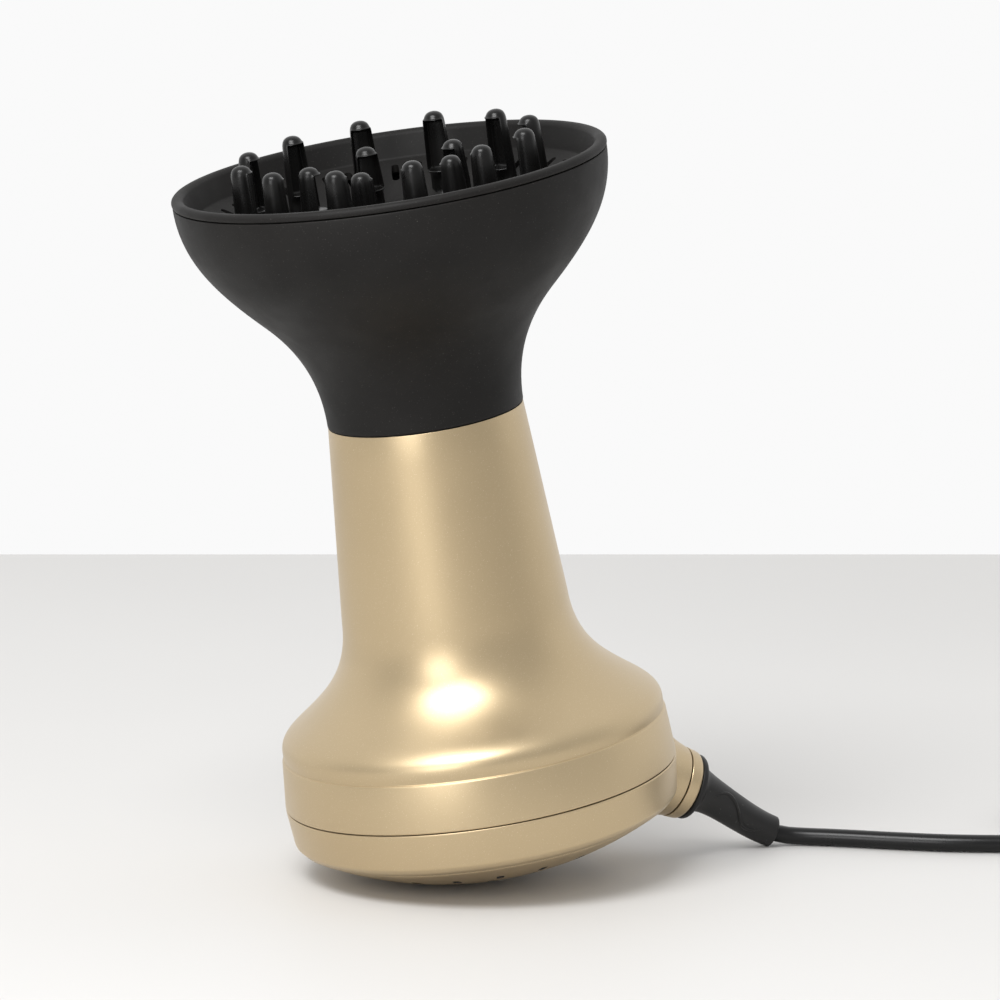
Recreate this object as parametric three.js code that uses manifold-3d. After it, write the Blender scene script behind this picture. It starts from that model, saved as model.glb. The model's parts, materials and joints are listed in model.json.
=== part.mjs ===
// Handle-less diffuser hair dryer: a flared body that is held by its neck, with a
// comb diffuser pushed onto the outlet. Millimetres, +Z up. The dryer leans on its
// domed intake cover and on the cord boot, as it does when it is put down.
import * as THREE from 'three';
import { mergeVertices } from 'three/addons/utils/BufferGeometryUtils.js';
import Module from 'manifold-3d';

const wasm = await Module();
wasm.setup();

// ---------------------------------------------------------------- driving dimensions
const SEGMENTS = 24;              // facets round a shell
const CURVE_STEPS = 6;            // chords in each curved stretch of an outline
const GAP = 0.3;                  // clearance between touching pieces
const LEAN = 8.96;                // degrees that the standing dryer leans

const DOME_RADIUS = 136;          // sphere that the intake cover is cut from
const CREASE_RADIUS = 71.6;       // edge between dome and band
const BAND_RADIUS = 73;           // widest ring, at the housing parting line
const SHOULDER_RADIUS = 71.6;     // upper edge of the band
const REAR_BAND_HEIGHT = 14.4;    // dome crease to parting line
const FRONT_BAND_HEIGHT = 18;     // parting line to shoulder crease
const NECK_BASE_RADIUS = 42;      // neck just above the fillet
const NECK_TOP_RADIUS = 36.1;     // neck at the diffuser seam
const NECK_FILLET_HEIGHT = 48.5;  // shoulder crease to the top of the fillet
const KNEE_HEIGHT = 12;           // shoulder crease to the knee above it
const KNEE_INSET = 6.8;           // how far the knee lies inside the shoulder
const BODY_HEIGHT = 121.6;        // shoulder crease to the diffuser seam
const HOUSING_WALL = 2.4;

const BOWL_HEIGHT = 92.5;         // diffuser seam to the rim
const RIM_RADIUS = 80;
const BOWL_WALL = 2.2;
const LIP_HEIGHT = 3;
const LIP_WIDTH = 4.4;
const TRAY_DEPTH = 21.4;          // rim down to the flat of the comb plate
const TRAY_RADIUS = 50;           // flat part of the comb plate
const DISH_DEPTH = 9.8;           // rim down to the upper edge of the sloping part
const DISH_RADIUS = 72.8;         // upper edge of the sloping part
const SLOPE_SLOTS = { count: 48, width: 3, phase: 0.5, margin: 3.3 };
const MIDDLE_SLOTS = { count: 12, width: 3.7 };
const CENTRE_SLOTS = { count: 10, width: 3.2, from: 9 };
const PLATE_THICKNESS = 2.2;

const OUTER_FINGERS = { count: 12, radius: 53.7, height: 31, phase: 19 };
const INNER_FINGERS = { count: 5, radius: 29, height: 25.1, phase: 13 };
const FINGER_BASE = 5;            // finger radius at the plate
const FINGER_TIP = 3.7;

const COVER_RADIUS = 66.4;        // removable intake cover
const COVER_WALL = 2.4;
const COVER_CLEARANCE = 0.9;
const INTAKE_RADIUS = 60;         // opening in the rear housing floor
const FLOOR_THICKNESS = 2.2;
const BAYONET_ANGLE = 12;         // width of a bayonet tab, degrees
const BAYONET_TURN = 18;          // twist that frees the cover, degrees

const FAN_RADIUS = 54.4;
const FAN_HUB_RADIUS = 16.5;
const FAN_DEPTH = 12;
const FAN_BLADES = 9;
const DUCT_RADIUS = 57;
const DUCT_WALL = 1.6;
const MOTOR_RADIUS = 17;
const MOTOR_LENGTH = 32;
const SHAFT_RADIUS = 1.6;

const SLEEVE_RADIUS = 32.8;       // mica liner of the heater
const SLEEVE_WALL = 0.8;
const HEATER_HEIGHT = 60;
const HEATER_WIRE = 0.6;
const SPIGOT_WALL = 2.8;
const SPIGOT_HEIGHT = 12;

const SCREW_CIRCLE = 62.6;
const SCREW_ANGLES = [130, 195, 260, 325];

const SWITCH_TRAVEL = 4.5;        // one step of the slide switch
const COLLAR_RADIUS = 12.9;
const COLLAR_LENGTH = 5;
const COLLAR_TILT = 31;           // cord exit below the body's radius, degrees
const COLLAR_REACH = 80.5;        // body axis to the collar face
const COLLAR_DROP = 7.4;          // collar face centre below the dome crease

const CORD_RADIUS = 3.3;
const BOOT_END_RADIUS = 5.9;
const COIL_CENTRE = new THREE.Vector2(284, -14);
const COIL_MID_RADIUS = 36.3;
const COIL_WIDTH = 26.4;
const COIL_HEIGHT = 13.3;          // two layers of cord

// ---------------------------------------------------------------- heights on the body axis
const CREASE_Z = DOME_RADIUS - Math.sqrt(DOME_RADIUS ** 2 - CREASE_RADIUS ** 2);
const PARTING_Z = CREASE_Z + REAR_BAND_HEIGHT;
const SHOULDER_Z = PARTING_Z + FRONT_BAND_HEIGHT;
const SEAM_Z = SHOULDER_Z + BODY_HEIGHT;
const RIM_Z = SEAM_Z + BOWL_HEIGHT;
const PLATE_Z = RIM_Z - TRAY_DEPTH;
const DISH_Z = RIM_Z - DISH_DEPTH;
const FLOOR_Z = CREASE_Z + 0.3;
const FAN_Z = FLOOR_Z + FLOOR_THICKNESS + 13;
const MOTOR_Z = FAN_Z + FAN_DEPTH + 5;
const HEATER_Z = MOTOR_Z + MOTOR_LENGTH + 12;
const DUCT_TOP_Z = HEATER_Z - 2;

// ---------------------------------------------------------------- finishes
const GOLD = { color: 0xc4ab82, roughness: 0.38, metalness: 0.85 };
const SOFT_BLACK = { color: 0x2b2a2a, roughness: 0.62, metalness: 0 };
const RUBBER = { color: 0x201f1f, roughness: 0.7, metalness: 0 };
const GLOSS_BLACK = { color: 0x1a1a1b, roughness: 0.25, metalness: 0 };
const NYLON = { color: 0x3a3a3c, roughness: 0.55, metalness: 0 };
const STEEL = { color: 0xb5b7ba, roughness: 0.35, metalness: 1 };
const BRASS = { color: 0xc2a25a, roughness: 0.35, metalness: 1 };
const MICA = { color: 0xd9cfae, roughness: 0.6, metalness: 0 };
const GREEN_BOARD = { color: 0x2f6b45, roughness: 0.5, metalness: 0 };

// ---------------------------------------------------------------- geometry helpers
function orient(geometry) {
  geometry.deleteAttribute('normal');
  geometry.deleteAttribute('uv');
  const merged = mergeVertices(geometry, 1e-4);
  const p = merged.attributes.position;
  const index = [];
  let volume = 0;
  const [a, b, c] = [new THREE.Vector3(), new THREE.Vector3(), new THREE.Vector3()];
  for (let i = 0; i < merged.index.count; i += 3) {
    const corners = [0, 1, 2].map((k) => merged.index.getX(i + k));
    if (new Set(corners).size < 3) continue;
    index.push(...corners);
    a.fromBufferAttribute(p, corners[0]);
    b.fromBufferAttribute(p, corners[1]);
    c.fromBufferAttribute(p, corners[2]);
    volume += a.dot(b.cross(c));
  }
  if (volume < 0) index.reverse();
  merged.setIndex(index);
  return merged;
}

function toSolid(geometry) {
  const closed = orient(geometry);
  return new wasm.Manifold(new wasm.Mesh({
    numProp: 3,
    vertProperties: new Float32Array(closed.attributes.position.array),
    triVerts: new Uint32Array(closed.index.array),
  }));
}

function toGeometry(solid) {
  const result = solid.getMesh();
  const geometry = new THREE.BufferGeometry();
  geometry.setAttribute('position', new THREE.Float32BufferAttribute(result.vertProperties, 3));
  geometry.setIndex([...result.triVerts]);
  return geometry;
}

function cut(base, tools) {
  return tools.reduce((solid, tool) => solid.subtract(toSolid(tool)), base);
}

function join(base, additions) {
  return additions.reduce((solid, addition) => solid.add(toSolid(addition)), base);
}

// Revolves a closed outline of [radius, z] points about +Z.
function revolve(outline, segments = SEGMENTS) {
  const points = outline.map(([r, z]) => new THREE.Vector2(r, z));
  if (outline[0][0] > 0) points.push(points[0].clone());
  return new THREE.LatheGeometry(points, segments).rotateX(Math.PI / 2);
}

function ring(inner, outer, low, high, segments = SEGMENTS) {
  return revolve([[inner, low], [outer, low], [outer, high], [inner, high]], segments);
}

function rod(radius, low, high, segments = 16) {
  return revolve([[0, low], [radius, low], [radius, high], [0, high]], segments);
}

function block(width, depth, height, x, y, z) {
  return new THREE.BoxGeometry(width, depth, height).translate(x, y, z);
}

function turned(geometry, degrees) {
  return geometry.rotateZ(THREE.MathUtils.degToRad(degrees));
}

function around(count, phase, make) {
  return Array.from({ length: count }, (_, i) => turned(make(i), phase + (360 * i) / count));
}

// The outline moved inwards by a wall thickness, square to its own run.
function offsetInwards(points, wall) {
  return points.map(([r, z], i) => {
    const [r0, z0] = points[Math.max(i - 1, 0)];
    const [r1, z1] = points[Math.min(i + 1, points.length - 1)];
    const run = Math.hypot(r1 - r0, z1 - z0);
    return [r - (wall * (z1 - z0)) / run, z + (wall * (r1 - r0)) / run];
  });
}

function shellOutline(outer, wall) {
  const inner = offsetInwards(outer, wall);
  inner[0][1] = outer[0][1];
  inner[inner.length - 1][1] = outer[outer.length - 1][1];
  return [...outer, ...inner.reverse()];
}

function domeZ(radius, offset = 0) {
  return DOME_RADIUS - Math.sqrt((DOME_RADIUS - offset) ** 2 - radius ** 2);
}

function arcOnDome(from, to, steps, offset = 0) {
  return Array.from({ length: steps + 1 }, (_, i) => {
    const radius = from + ((to - from) * i) / steps;
    return [radius, domeZ(radius, offset)];
  });
}

// A round body with a changing radius that follows a curve.
function loft(curve, radiusAt, steps, sides) {
  const positions = [];
  const index = [];
  const side = new THREE.Vector3();
  for (let i = 0; i <= steps; i += 1) {
    const t = i / steps;
    const centre = curve.getPointAt(t);
    const tangent = curve.getTangentAt(t);
    side.set(0, 1, 0).addScaledVector(tangent, -tangent.y).normalize();
    const up = new THREE.Vector3().crossVectors(tangent, side);
    for (let k = 0; k < sides; k += 1) {
      const angle = (2 * Math.PI * k) / sides;
      const point = centre.clone().addScaledVector(side, radiusAt(t) * Math.cos(angle));
      positions.push(...point.addScaledVector(up, radiusAt(t) * Math.sin(angle)).toArray());
    }
  }
  for (let i = 0; i < steps; i += 1) {
    for (let k = 0; k < sides; k += 1) {
      const [a, b] = [i * sides + k, i * sides + ((k + 1) % sides)];
      index.push(a, b, b + sides, a, b + sides, a + sides);
    }
  }
  for (const [start, end] of [[0, curve.getPointAt(0)], [steps * sides, curve.getPointAt(1)]]) {
    const hub = positions.length / 3;
    positions.push(...end.toArray());
    for (let k = 0; k < sides; k += 1) {
      const [a, b] = [start + k, start + ((k + 1) % sides)];
      index.push(...(start === 0 ? [hub, b, a] : [hub, a, b]));
    }
  }
  const geometry = new THREE.BufferGeometry();
  geometry.setAttribute('position', new THREE.Float32BufferAttribute(positions, 3));
  geometry.setIndex(index);
  return geometry;
}

// A round tube of constant section along a curve.
function tube(curve, radius, steps, sides) {
  const section = new THREE.Shape();
  for (let k = 0; k < sides; k += 1) {
    const angle = (2 * Math.PI * k) / sides;
    const [x, y] = [radius * Math.cos(angle), radius * Math.sin(angle)];
    if (k === 0) section.moveTo(x, y);
    else section.lineTo(x, y);
  }
  section.closePath();
  return new THREE.ExtrudeGeometry(section, { steps, extrudePath: curve });
}

function piece(name, geometry, finish) {
  const mesh = new THREE.Mesh(orient(geometry), new THREE.MeshStandardMaterial(finish));
  mesh.name = name;
  return mesh;
}

// ---------------------------------------------------------------- diffuser
function bowlOutline() {
  const seam = SEAM_Z + GAP / 2;
  const top = RIM_Z - LIP_HEIGHT - GAP;
  const neck = NECK_TOP_RADIUS + 0.1;
  const [middle, middleZ] = [(neck + RIM_RADIUS) / 2 - 4.1, SEAM_Z + BOWL_HEIGHT * 0.454];
  const path = new THREE.Path();
  path.moveTo(neck, seam);
  path.bezierCurveTo(neck, seam + 19, middle - 10, middleZ - 10, middle, middleZ);
  path.bezierCurveTo(middle + 16, middleZ + 16, RIM_RADIUS - 0.3, RIM_Z - 22, RIM_RADIUS - 0.2, top);
  return path.getPoints(CURVE_STEPS).map((point) => point.toArray());
}

function makeBowl() {
  return piece('diffuser_bowl', revolve(shellOutline(bowlOutline(), BOWL_WALL)), SOFT_BLACK);
}

function trayOutline() {
  const under = PLATE_Z - PLATE_THICKNESS;
  const lipBase = RIM_Z - LIP_HEIGHT;
  const seat = RIM_RADIUS - BOWL_WALL - 1;
  return [
    [0, under], [TRAY_RADIUS + 1, under], [DISH_RADIUS + 0.2, DISH_Z - PLATE_THICKNESS - 0.6],
    [seat, lipBase], [RIM_RADIUS, lipBase],
    [RIM_RADIUS, RIM_Z - 0.9], [RIM_RADIUS - 0.9, RIM_Z], [RIM_RADIUS - LIP_WIDTH + 0.9, RIM_Z],
    [RIM_RADIUS - LIP_WIDTH, RIM_Z - 0.9], [DISH_RADIUS, DISH_Z], [TRAY_RADIUS, PLATE_Z],
    [0, PLATE_Z],
  ];
}

function finger(height) {
  const root = PLATE_Z - PLATE_THICKNESS / 2;
  const top = PLATE_Z + height;
  const outline = [
    [0, root], [FINGER_BASE, root], [FINGER_BASE, PLATE_Z + 1], [FINGER_TIP, top - FINGER_TIP],
    [FINGER_TIP * 0.7, top - FINGER_TIP * 0.29], [0, top],
  ];
  return revolve(outline, 8);
}

function fingerRing({ count, radius, height, phase }) {
  return around(count, phase, () => finger(height).translate(radius, 0, 0));
}

function slotRing(count, inner, outer, width, phase, z, depth) {
  const middle = (inner + outer) / 2;
  return around(count, phase, () => block(outer - inner, width, depth, middle, 0, z));
}

function makeComb() {
  const half = 180 / OUTER_FINGERS.count;
  const [outer, inner] = [OUTER_FINGERS.radius, INNER_FINGERS.radius];
  const clear = FINGER_BASE + 2;
  const depth = PLATE_THICKNESS * 3;
  const slots = [
    ...slotRing(SLOPE_SLOTS.count, outer + clear, DISH_RADIUS - SLOPE_SLOTS.margin,
      SLOPE_SLOTS.width, SLOPE_SLOTS.phase, (PLATE_Z + DISH_Z) / 2, DISH_Z - PLATE_Z + depth),
    ...slotRing(MIDDLE_SLOTS.count, inner + clear, outer - clear, MIDDLE_SLOTS.width,
      OUTER_FINGERS.phase + half, PLATE_Z, depth),
    ...slotRing(CENTRE_SLOTS.count, CENTRE_SLOTS.from, inner - clear, CENTRE_SLOTS.width,
      INNER_FINGERS.phase + 180 / CENTRE_SLOTS.count, PLATE_Z, depth),
  ];
  const plate = cut(toSolid(revolve(trayOutline())), slots);
  const comb = join(plate, [...fingerRing(OUTER_FINGERS), ...fingerRing(INNER_FINGERS)]);
  return piece('comb_insert', toGeometry(comb), SOFT_BLACK);
}

// ---------------------------------------------------------------- housings
function frontOutline() {
  const start = PARTING_Z + GAP / 2;
  const filletTop = SHOULDER_Z + NECK_FILLET_HEIGHT;
  const path = new THREE.Path();
  path.moveTo(BAND_RADIUS, start);
  path.lineTo(SHOULDER_RADIUS, SHOULDER_Z);
  const knee = SHOULDER_RADIUS - KNEE_INSET;
  const kneeZ = SHOULDER_Z + KNEE_HEIGHT;
  path.bezierCurveTo(
    SHOULDER_RADIUS + 0.2, kneeZ - 5.6, knee + 5.8, kneeZ - 4.4, knee, kneeZ,
  );
  path.bezierCurveTo(
    knee - 12.8, kneeZ + 9.7, NECK_BASE_RADIUS + 0.6, filletTop - 19.2, NECK_BASE_RADIUS, filletTop,
  );
  path.lineTo(NECK_TOP_RADIUS, SEAM_Z - GAP / 2);
  return path.getPoints(CURVE_STEPS).map((point) => point.toArray());
}

function housingAt(z) {
  const points = frontOutline();
  const next = points.findIndex((point) => point[1] >= z);
  const [[r0, z0], [r1, z1]] = [points[Math.max(next - 1, 0)], points[Math.max(next, 0)]];
  return z1 > z0 ? r0 + ((r1 - r0) * (z - z0)) / (z1 - z0) : r0;
}

const POST_RADIUS = 3.4;
const POST_SPLIT_Z = PARTING_Z + 1;
const LUG_THICKNESS = 1.9;
const POST_TOP_Z = SHOULDER_Z - 3;

function frontPost(degrees) {
  const wall = housingAt(POST_TOP_Z) - 1;
  const low = POST_SPLIT_Z + LUG_THICKNESS + GAP;
  const length = wall - SCREW_CIRCLE;
  return [
    turned(rod(POST_RADIUS, low, POST_TOP_Z, 10).translate(SCREW_CIRCLE, 0, 0), degrees),
    turned(block(length, 2.4, POST_TOP_Z - low, SCREW_CIRCLE + length / 2, 0,
      (low + POST_TOP_Z) / 2), degrees),
  ];
}

const SWITCH_Z = (PARTING_Z + SHOULDER_Z) / 2 + 0.6;
const SWITCH_FLAT = BAND_RADIUS - 2.2;      // flat seat for the bezel, from the body axis
const BEZEL = { width: 29, height: 11.4, thickness: 1.4 };
const SLIDER = { width: 9.4, height: 4.4 };
const WINDOW = { width: SLIDER.width + 2 * SWITCH_TRAVEL + 1, height: SLIDER.height + 1 };


function makeFrontHousing() {
  const tongue = ring(
    BAND_RADIUS - HOUSING_WALL - 2, BAND_RADIUS - HOUSING_WALL - GAP * 1.6,
    PARTING_Z - 4, PARTING_Z + 2,
  );
  const bridge = ring(
    BAND_RADIUS - HOUSING_WALL - 2, BAND_RADIUS - 1.2, PARTING_Z + 1, PARTING_Z + 3,
  );
  const pad = block(
    BEZEL.width + 4, 5, BEZEL.height + 2.2, 0, SWITCH_FLAT - 2.6, SWITCH_Z,
  );
  const shell = join(
    toSolid(revolve(shellOutline(frontOutline(), HOUSING_WALL))),
    [tongue, bridge, pad, ...SCREW_ANGLES.flatMap(frontPost)],
  );
  const bores = SCREW_ANGLES.map((degrees) => turned(
    rod(1.5, POST_SPLIT_Z, POST_TOP_Z - 2, 8).translate(SCREW_CIRCLE, 0, 0), degrees,
  ));
  const seat = block(
    BEZEL.width + 2 * GAP, 10, BEZEL.height + 2 * GAP, 0, SWITCH_FLAT + 5, SWITCH_Z,
  );
  const window = block(WINDOW.width, 20, WINDOW.height, 0, SWITCH_FLAT, SWITCH_Z);
  return piece('front_housing', toGeometry(cut(shell, [...bores, seat, window])), GOLD);
}

const COLLAR_Z = CREASE_Z - COLLAR_DROP;

// Places a piece made on +Z so that +Z runs out along the cord exit.
function alongExit(geometry) {
  geometry.rotateY(Math.PI / 2 + THREE.MathUtils.degToRad(COLLAR_TILT));
  return geometry.translate(COLLAR_REACH, 0, COLLAR_Z);
}

function rearPost(degrees) {
  return turned(
    rod(POST_RADIUS, FLOOR_Z + 0.4, POST_SPLIT_Z - GAP, 10).translate(SCREW_CIRCLE, 0, 0), degrees,
  );
}

function bayonetNotch() {
  const gapAngle = BAYONET_ANGLE + 5;
  const width = 2 * INTAKE_RADIUS * Math.sin(THREE.MathUtils.degToRad(gapAngle / 2));
  return block(6, width, FLOOR_THICKNESS * 3, INTAKE_RADIUS, 0, FLOOR_Z + FLOOR_THICKNESS / 2);
}

function makeRearHousing() {
  const edge = COVER_RADIUS + COVER_CLEARANCE;
  const floorTop = FLOOR_Z + FLOOR_THICKNESS;
  const inside = BAND_RADIUS - HOUSING_WALL;
  const wall = [
    [INTAKE_RADIUS, FLOOR_Z], [edge, FLOOR_Z], ...arcOnDome(edge, CREASE_RADIUS, 2),
    [BAND_RADIUS, PARTING_Z - GAP / 2], [inside, PARTING_Z - GAP / 2], [inside - 0.4, floorTop],
    [INTAKE_RADIUS, floorTop],
  ];
  const swell = alongExit(revolve([
    [0, -26], [17.5, -26], [16.6, -16], [COLLAR_RADIUS + 0.9, -COLLAR_LENGTH - GAP],
    [0, -COLLAR_LENGTH - GAP],
  ], 24));
  const shell = join(toSolid(revolve(wall)), [swell, ...SCREW_ANGLES.map(rearPost)]);
  const cavity = revolve([
    [0, floorTop], [inside - 0.4, floorTop], [inside, PARTING_Z], [inside, PARTING_Z + 30],
    [0, PARTING_Z + 30],
  ]);
  const hollow = toSolid(cavity).subtract(join(toSolid(rearPost(SCREW_ANGLES[0])),
    SCREW_ANGLES.slice(1).map(rearPost)));
  const tools = [
    rod(edge, -40, FLOOR_Z, SEGMENTS),
    rod(INTAKE_RADIUS, -40, floorTop + 1, SEGMENTS),
    alongExit(rod(6.9, -40, 10, 16)),
    ring(BAND_RADIUS - 12, BAND_RADIUS + 30, PARTING_Z - GAP / 2, PARTING_Z + 40),
    ...around(3, BAYONET_TURN + 30, bayonetNotch),
    ...SCREW_ANGLES.flatMap((degrees) => [
      turned(rod(3, FLOOR_Z - 2, FLOOR_Z + 7, 10).translate(SCREW_CIRCLE, 0, 0), degrees),
      turned(rod(1.6, FLOOR_Z, POST_SPLIT_Z + 1, 8).translate(SCREW_CIRCLE, 0, 0), degrees),
    ]),
  ];
  const shaped = cut(shell.subtract(hollow), tools);
  return piece('rear_housing', toGeometry(shaped), GOLD);
}

function makeCollar() {
  const length = COLLAR_LENGTH;
  return piece('cord_collar', alongExit(revolve([
    [7.2, -length], [COLLAR_RADIUS + 0.7, -length], [COLLAR_RADIUS, 0], [7.2, 0],
  ], 24)), GOLD);
}

function makeHousingScrew(degrees, number) {
  const seat = FLOOR_Z + 7 - 0.2;
  const outline = [
    [0, seat - 2.2], [2.6, seat - 2.2], [2.6, seat], [1.2, seat], [1.2, POST_TOP_Z - 3.5],
    [0, POST_TOP_Z - 2.8],
  ];
  const screw = turned(revolve(outline, 8).translate(SCREW_CIRCLE, 0, 0), degrees);
  return piece(`housing_screw_${number}`, screw, STEEL);
}

// ---------------------------------------------------------------- intake
function makeIntakeCover() {
  const outer = arcOnDome(0, COVER_RADIUS, 4);
  const inner = arcOnDome(0, COVER_RADIUS, 4, COVER_WALL);
  const shell = toSolid(revolve([...outer, ...inner.reverse()]));
  const tabTop = FLOOR_Z + FLOOR_THICKNESS + GAP + 1.6;
  const tabs = around(3, 30, () => {
    const width = 2 * INTAKE_RADIUS * Math.sin(THREE.MathUtils.degToRad(BAYONET_ANGLE / 2));
    const root = domeZ(INTAKE_RADIUS, COVER_WALL) - 1.4;
    const post = toSolid(block(3, width, tabTop - root, INTAKE_RADIUS - 2.6, 0,
      (tabTop + root) / 2));
    return toGeometry(join(post, [
      block(5.4, width, 1.6, INTAKE_RADIUS - 1.4, 0, tabTop - 0.8),
    ]));
  });
  const slots = [
    ...slotRing(10, 13, 26, 3, 0, 0, 60),
    ...slotRing(16, 31, 43, 3, 0, 0, 60),
    ...slotRing(20, 48, 54, 3, 0, 0, 60),
  ];
  return piece('intake_cover', toGeometry(join(cut(shell, slots), tabs)), GOLD);
}

function makeFilter() {
  const low = FLOOR_Z + 0.4;
  const outer = INTAKE_RADIUS - 4.6;
  const frame = toSolid(ring(outer - 3, outer, low, low + 1.2, 20));
  const span = outer - 1.5;
  const bars = [-30, -10, 10, 30].flatMap((offset) => {
    const length = 2 * Math.sqrt(span ** 2 - offset ** 2);
    return [
      block(length, 0.9, 0.8, 0, offset, low + 0.6),
      block(0.9, length, 0.6, offset, 0, low + 0.6),
    ];
  });
  return piece('intake_filter', toGeometry(join(frame, bars)), NYLON);
}

// ---------------------------------------------------------------- fan, motor and duct
function makeDuct() {
  const low = FLOOR_Z + FLOOR_THICKNESS + 3;
  const straightTop = FAN_Z + FAN_DEPTH + 2;
  const path = new THREE.Path();
  path.moveTo(DUCT_RADIUS + DUCT_WALL, low);
  path.lineTo(DUCT_RADIUS + DUCT_WALL, straightTop);
  path.bezierCurveTo(
    DUCT_RADIUS, straightTop + 14, SLEEVE_RADIUS + 4, DUCT_TOP_Z - 24,
    SLEEVE_RADIUS + 0.6, DUCT_TOP_Z,
  );
  const outline = shellOutline(path.getPoints(CURVE_STEPS).map((point) => point.toArray()), DUCT_WALL);
  const lugs = SCREW_ANGLES.map((degrees) => turned(
    block(9, 6, LUG_THICKNESS, SCREW_CIRCLE - 0.5, 0, POST_SPLIT_Z + LUG_THICKNESS / 2), degrees,
  ));
  const holes = SCREW_ANGLES.map((degrees) => turned(
    rod(1.6, POST_SPLIT_Z - 2, POST_SPLIT_Z + 4, 8).translate(SCREW_CIRCLE, 0, 0), degrees,
  ));
  const duct = cut(join(toSolid(revolve(outline)), lugs), holes);
  return piece('air_duct', toGeometry(duct), NYLON);
}

function makeImpeller() {
  const hub = toSolid(revolve([
    [SHAFT_RADIUS + 0.05, FAN_Z + 2], [SHAFT_RADIUS + 0.05, FAN_Z - 2], [8, FAN_Z - 1],
    [FAN_HUB_RADIUS - 2, FAN_Z + 1.6], [FAN_HUB_RADIUS, FAN_Z + 4],
    [FAN_HUB_RADIUS, FAN_Z + FAN_DEPTH], [FAN_HUB_RADIUS - 1.6, FAN_Z + FAN_DEPTH],
    [FAN_HUB_RADIUS - 1.6, FAN_Z + 4.6], [SHAFT_RADIUS + 3, FAN_Z + 2],
    [SHAFT_RADIUS + 3, FAN_Z + 8], [SHAFT_RADIUS + 0.05, FAN_Z + 8],
  ], 24));
  const start = FAN_HUB_RADIUS - 0.8;
  const length = FAN_RADIUS - start;
  const blades = around(FAN_BLADES, 0, () => {
    const blade = new THREE.BoxGeometry(length, 1.6, FAN_DEPTH - 1.5, 2, 1, 1);
    const p = blade.attributes.position;
    for (let i = 0; i < p.count; i += 1) {
      const twist = 0.95 - 0.4 * ((p.getX(i) + length / 2) / length - 0.5);
      const [y, z] = [p.getY(i), p.getZ(i)];
      p.setY(i, y * Math.cos(twist) - z * Math.sin(twist));
      p.setZ(i, y * Math.sin(twist) + z * Math.cos(twist));
    }
    return blade.translate(start + length / 2, 0, FAN_Z + FAN_DEPTH / 2 + 1);
  });
  return piece('fan_impeller', toGeometry(join(hub, blades)), NYLON);
}

function makeShaft() {
  return piece('motor_shaft', rod(SHAFT_RADIUS - 0.25, FAN_Z - 1, MOTOR_Z + MOTOR_LENGTH + 3, 12), STEEL);
}

function makeArmature() {
  const low = MOTOR_Z + 7;
  return piece('motor_armature', ring(SHAFT_RADIUS, MOTOR_RADIUS - 4.5, low, low + 16, 20), STEEL);
}

function makeCommutator() {
  const low = MOTOR_Z + 23.5;
  return piece('motor_commutator', ring(SHAFT_RADIUS, 4.6, low, low + 5, 12), BRASS);
}

function makeMotorCan() {
  const top = MOTOR_Z + MOTOR_LENGTH;
  return piece('motor_can', revolve([
    [4.3, MOTOR_Z], [MOTOR_RADIUS, MOTOR_Z], [MOTOR_RADIUS, top],
    [MOTOR_RADIUS - 1.4, top], [MOTOR_RADIUS - 1.4, MOTOR_Z + 1.6], [4.3, MOTOR_Z + 1.6],
  ], 24), STEEL);
}

function makeEndBell() {
  const top = MOTOR_Z + MOTOR_LENGTH;
  const inner = MOTOR_RADIUS - 1.4 - GAP;
  return piece('motor_end_bell', revolve([
    [4.3, top + GAP], [4.3, top - 2], [inner, top - 2], [inner, top + GAP],
    [MOTOR_RADIUS, top + GAP], [MOTOR_RADIUS, top + 1.8], [4.3, top + 1.8],
  ], 24), NYLON);
}

function makeBearing(name, z) {
  return piece(name, ring(SHAFT_RADIUS + 0.05, 4, z, z + 3, 12), BRASS);
}

function makeMotorMount() {
  const inner = MOTOR_RADIUS + GAP;
  const outer = inner + 1.8;
  const low = MOTOR_Z - 3;
  const cup = toSolid(revolve([
    [6, low], [outer, low], [outer, MOTOR_Z + 22], [inner, MOTOR_Z + 22],
    [inner, MOTOR_Z - GAP], [6, MOTOR_Z - GAP],
  ], 24));
  const reach = DUCT_RADIUS - 9;
  const vanes = around(7, 10, () => block(
    reach - inner - 0.5, 1.6, 11, (reach + inner + 0.5) / 2, 0, MOTOR_Z + 4,
  ));
  return piece('motor_mount', toGeometry(join(cup, vanes)), NYLON);
}

function makeRectifier() {
  const low = MOTOR_Z + MOTOR_LENGTH + 4.5;
  const board = toSolid(ring(4, MOTOR_RADIUS - 2, low, low + 1.6, 20));
  return piece('rectifier_board', toGeometry(join(board, [
    block(4, 3, 3.4, 9, 0, low + 2.5), block(4, 3, 3.4, -9, 0, low + 2.5),
    block(3, 4, 3.4, 0, 9, low + 2.5),
  ])), GREEN_BOARD);
}

// ---------------------------------------------------------------- heater and outlet
const BOARD_REACH = SLEEVE_RADIUS - SLEEVE_WALL - 3.6;
const COIL_RADIUS = BOARD_REACH + 1.8 + HEATER_WIRE;

function makeHeaterBoard(name, degrees, slotUp) {
  const middle = HEATER_Z + HEATER_HEIGHT / 2;
  const board = toSolid(block(2 * BOARD_REACH, 1, HEATER_HEIGHT, 0, 0, middle));
  const slotZ = middle + ((slotUp ? 1 : -1) * HEATER_HEIGHT) / 4;
  const slot = block(1.6, 4, HEATER_HEIGHT / 2 + 0.6, 0, 0, slotZ + (slotUp ? 0.3 : -0.3));
  return piece(name, turned(toGeometry(cut(board, [slot])), degrees), MICA);
}

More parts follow.
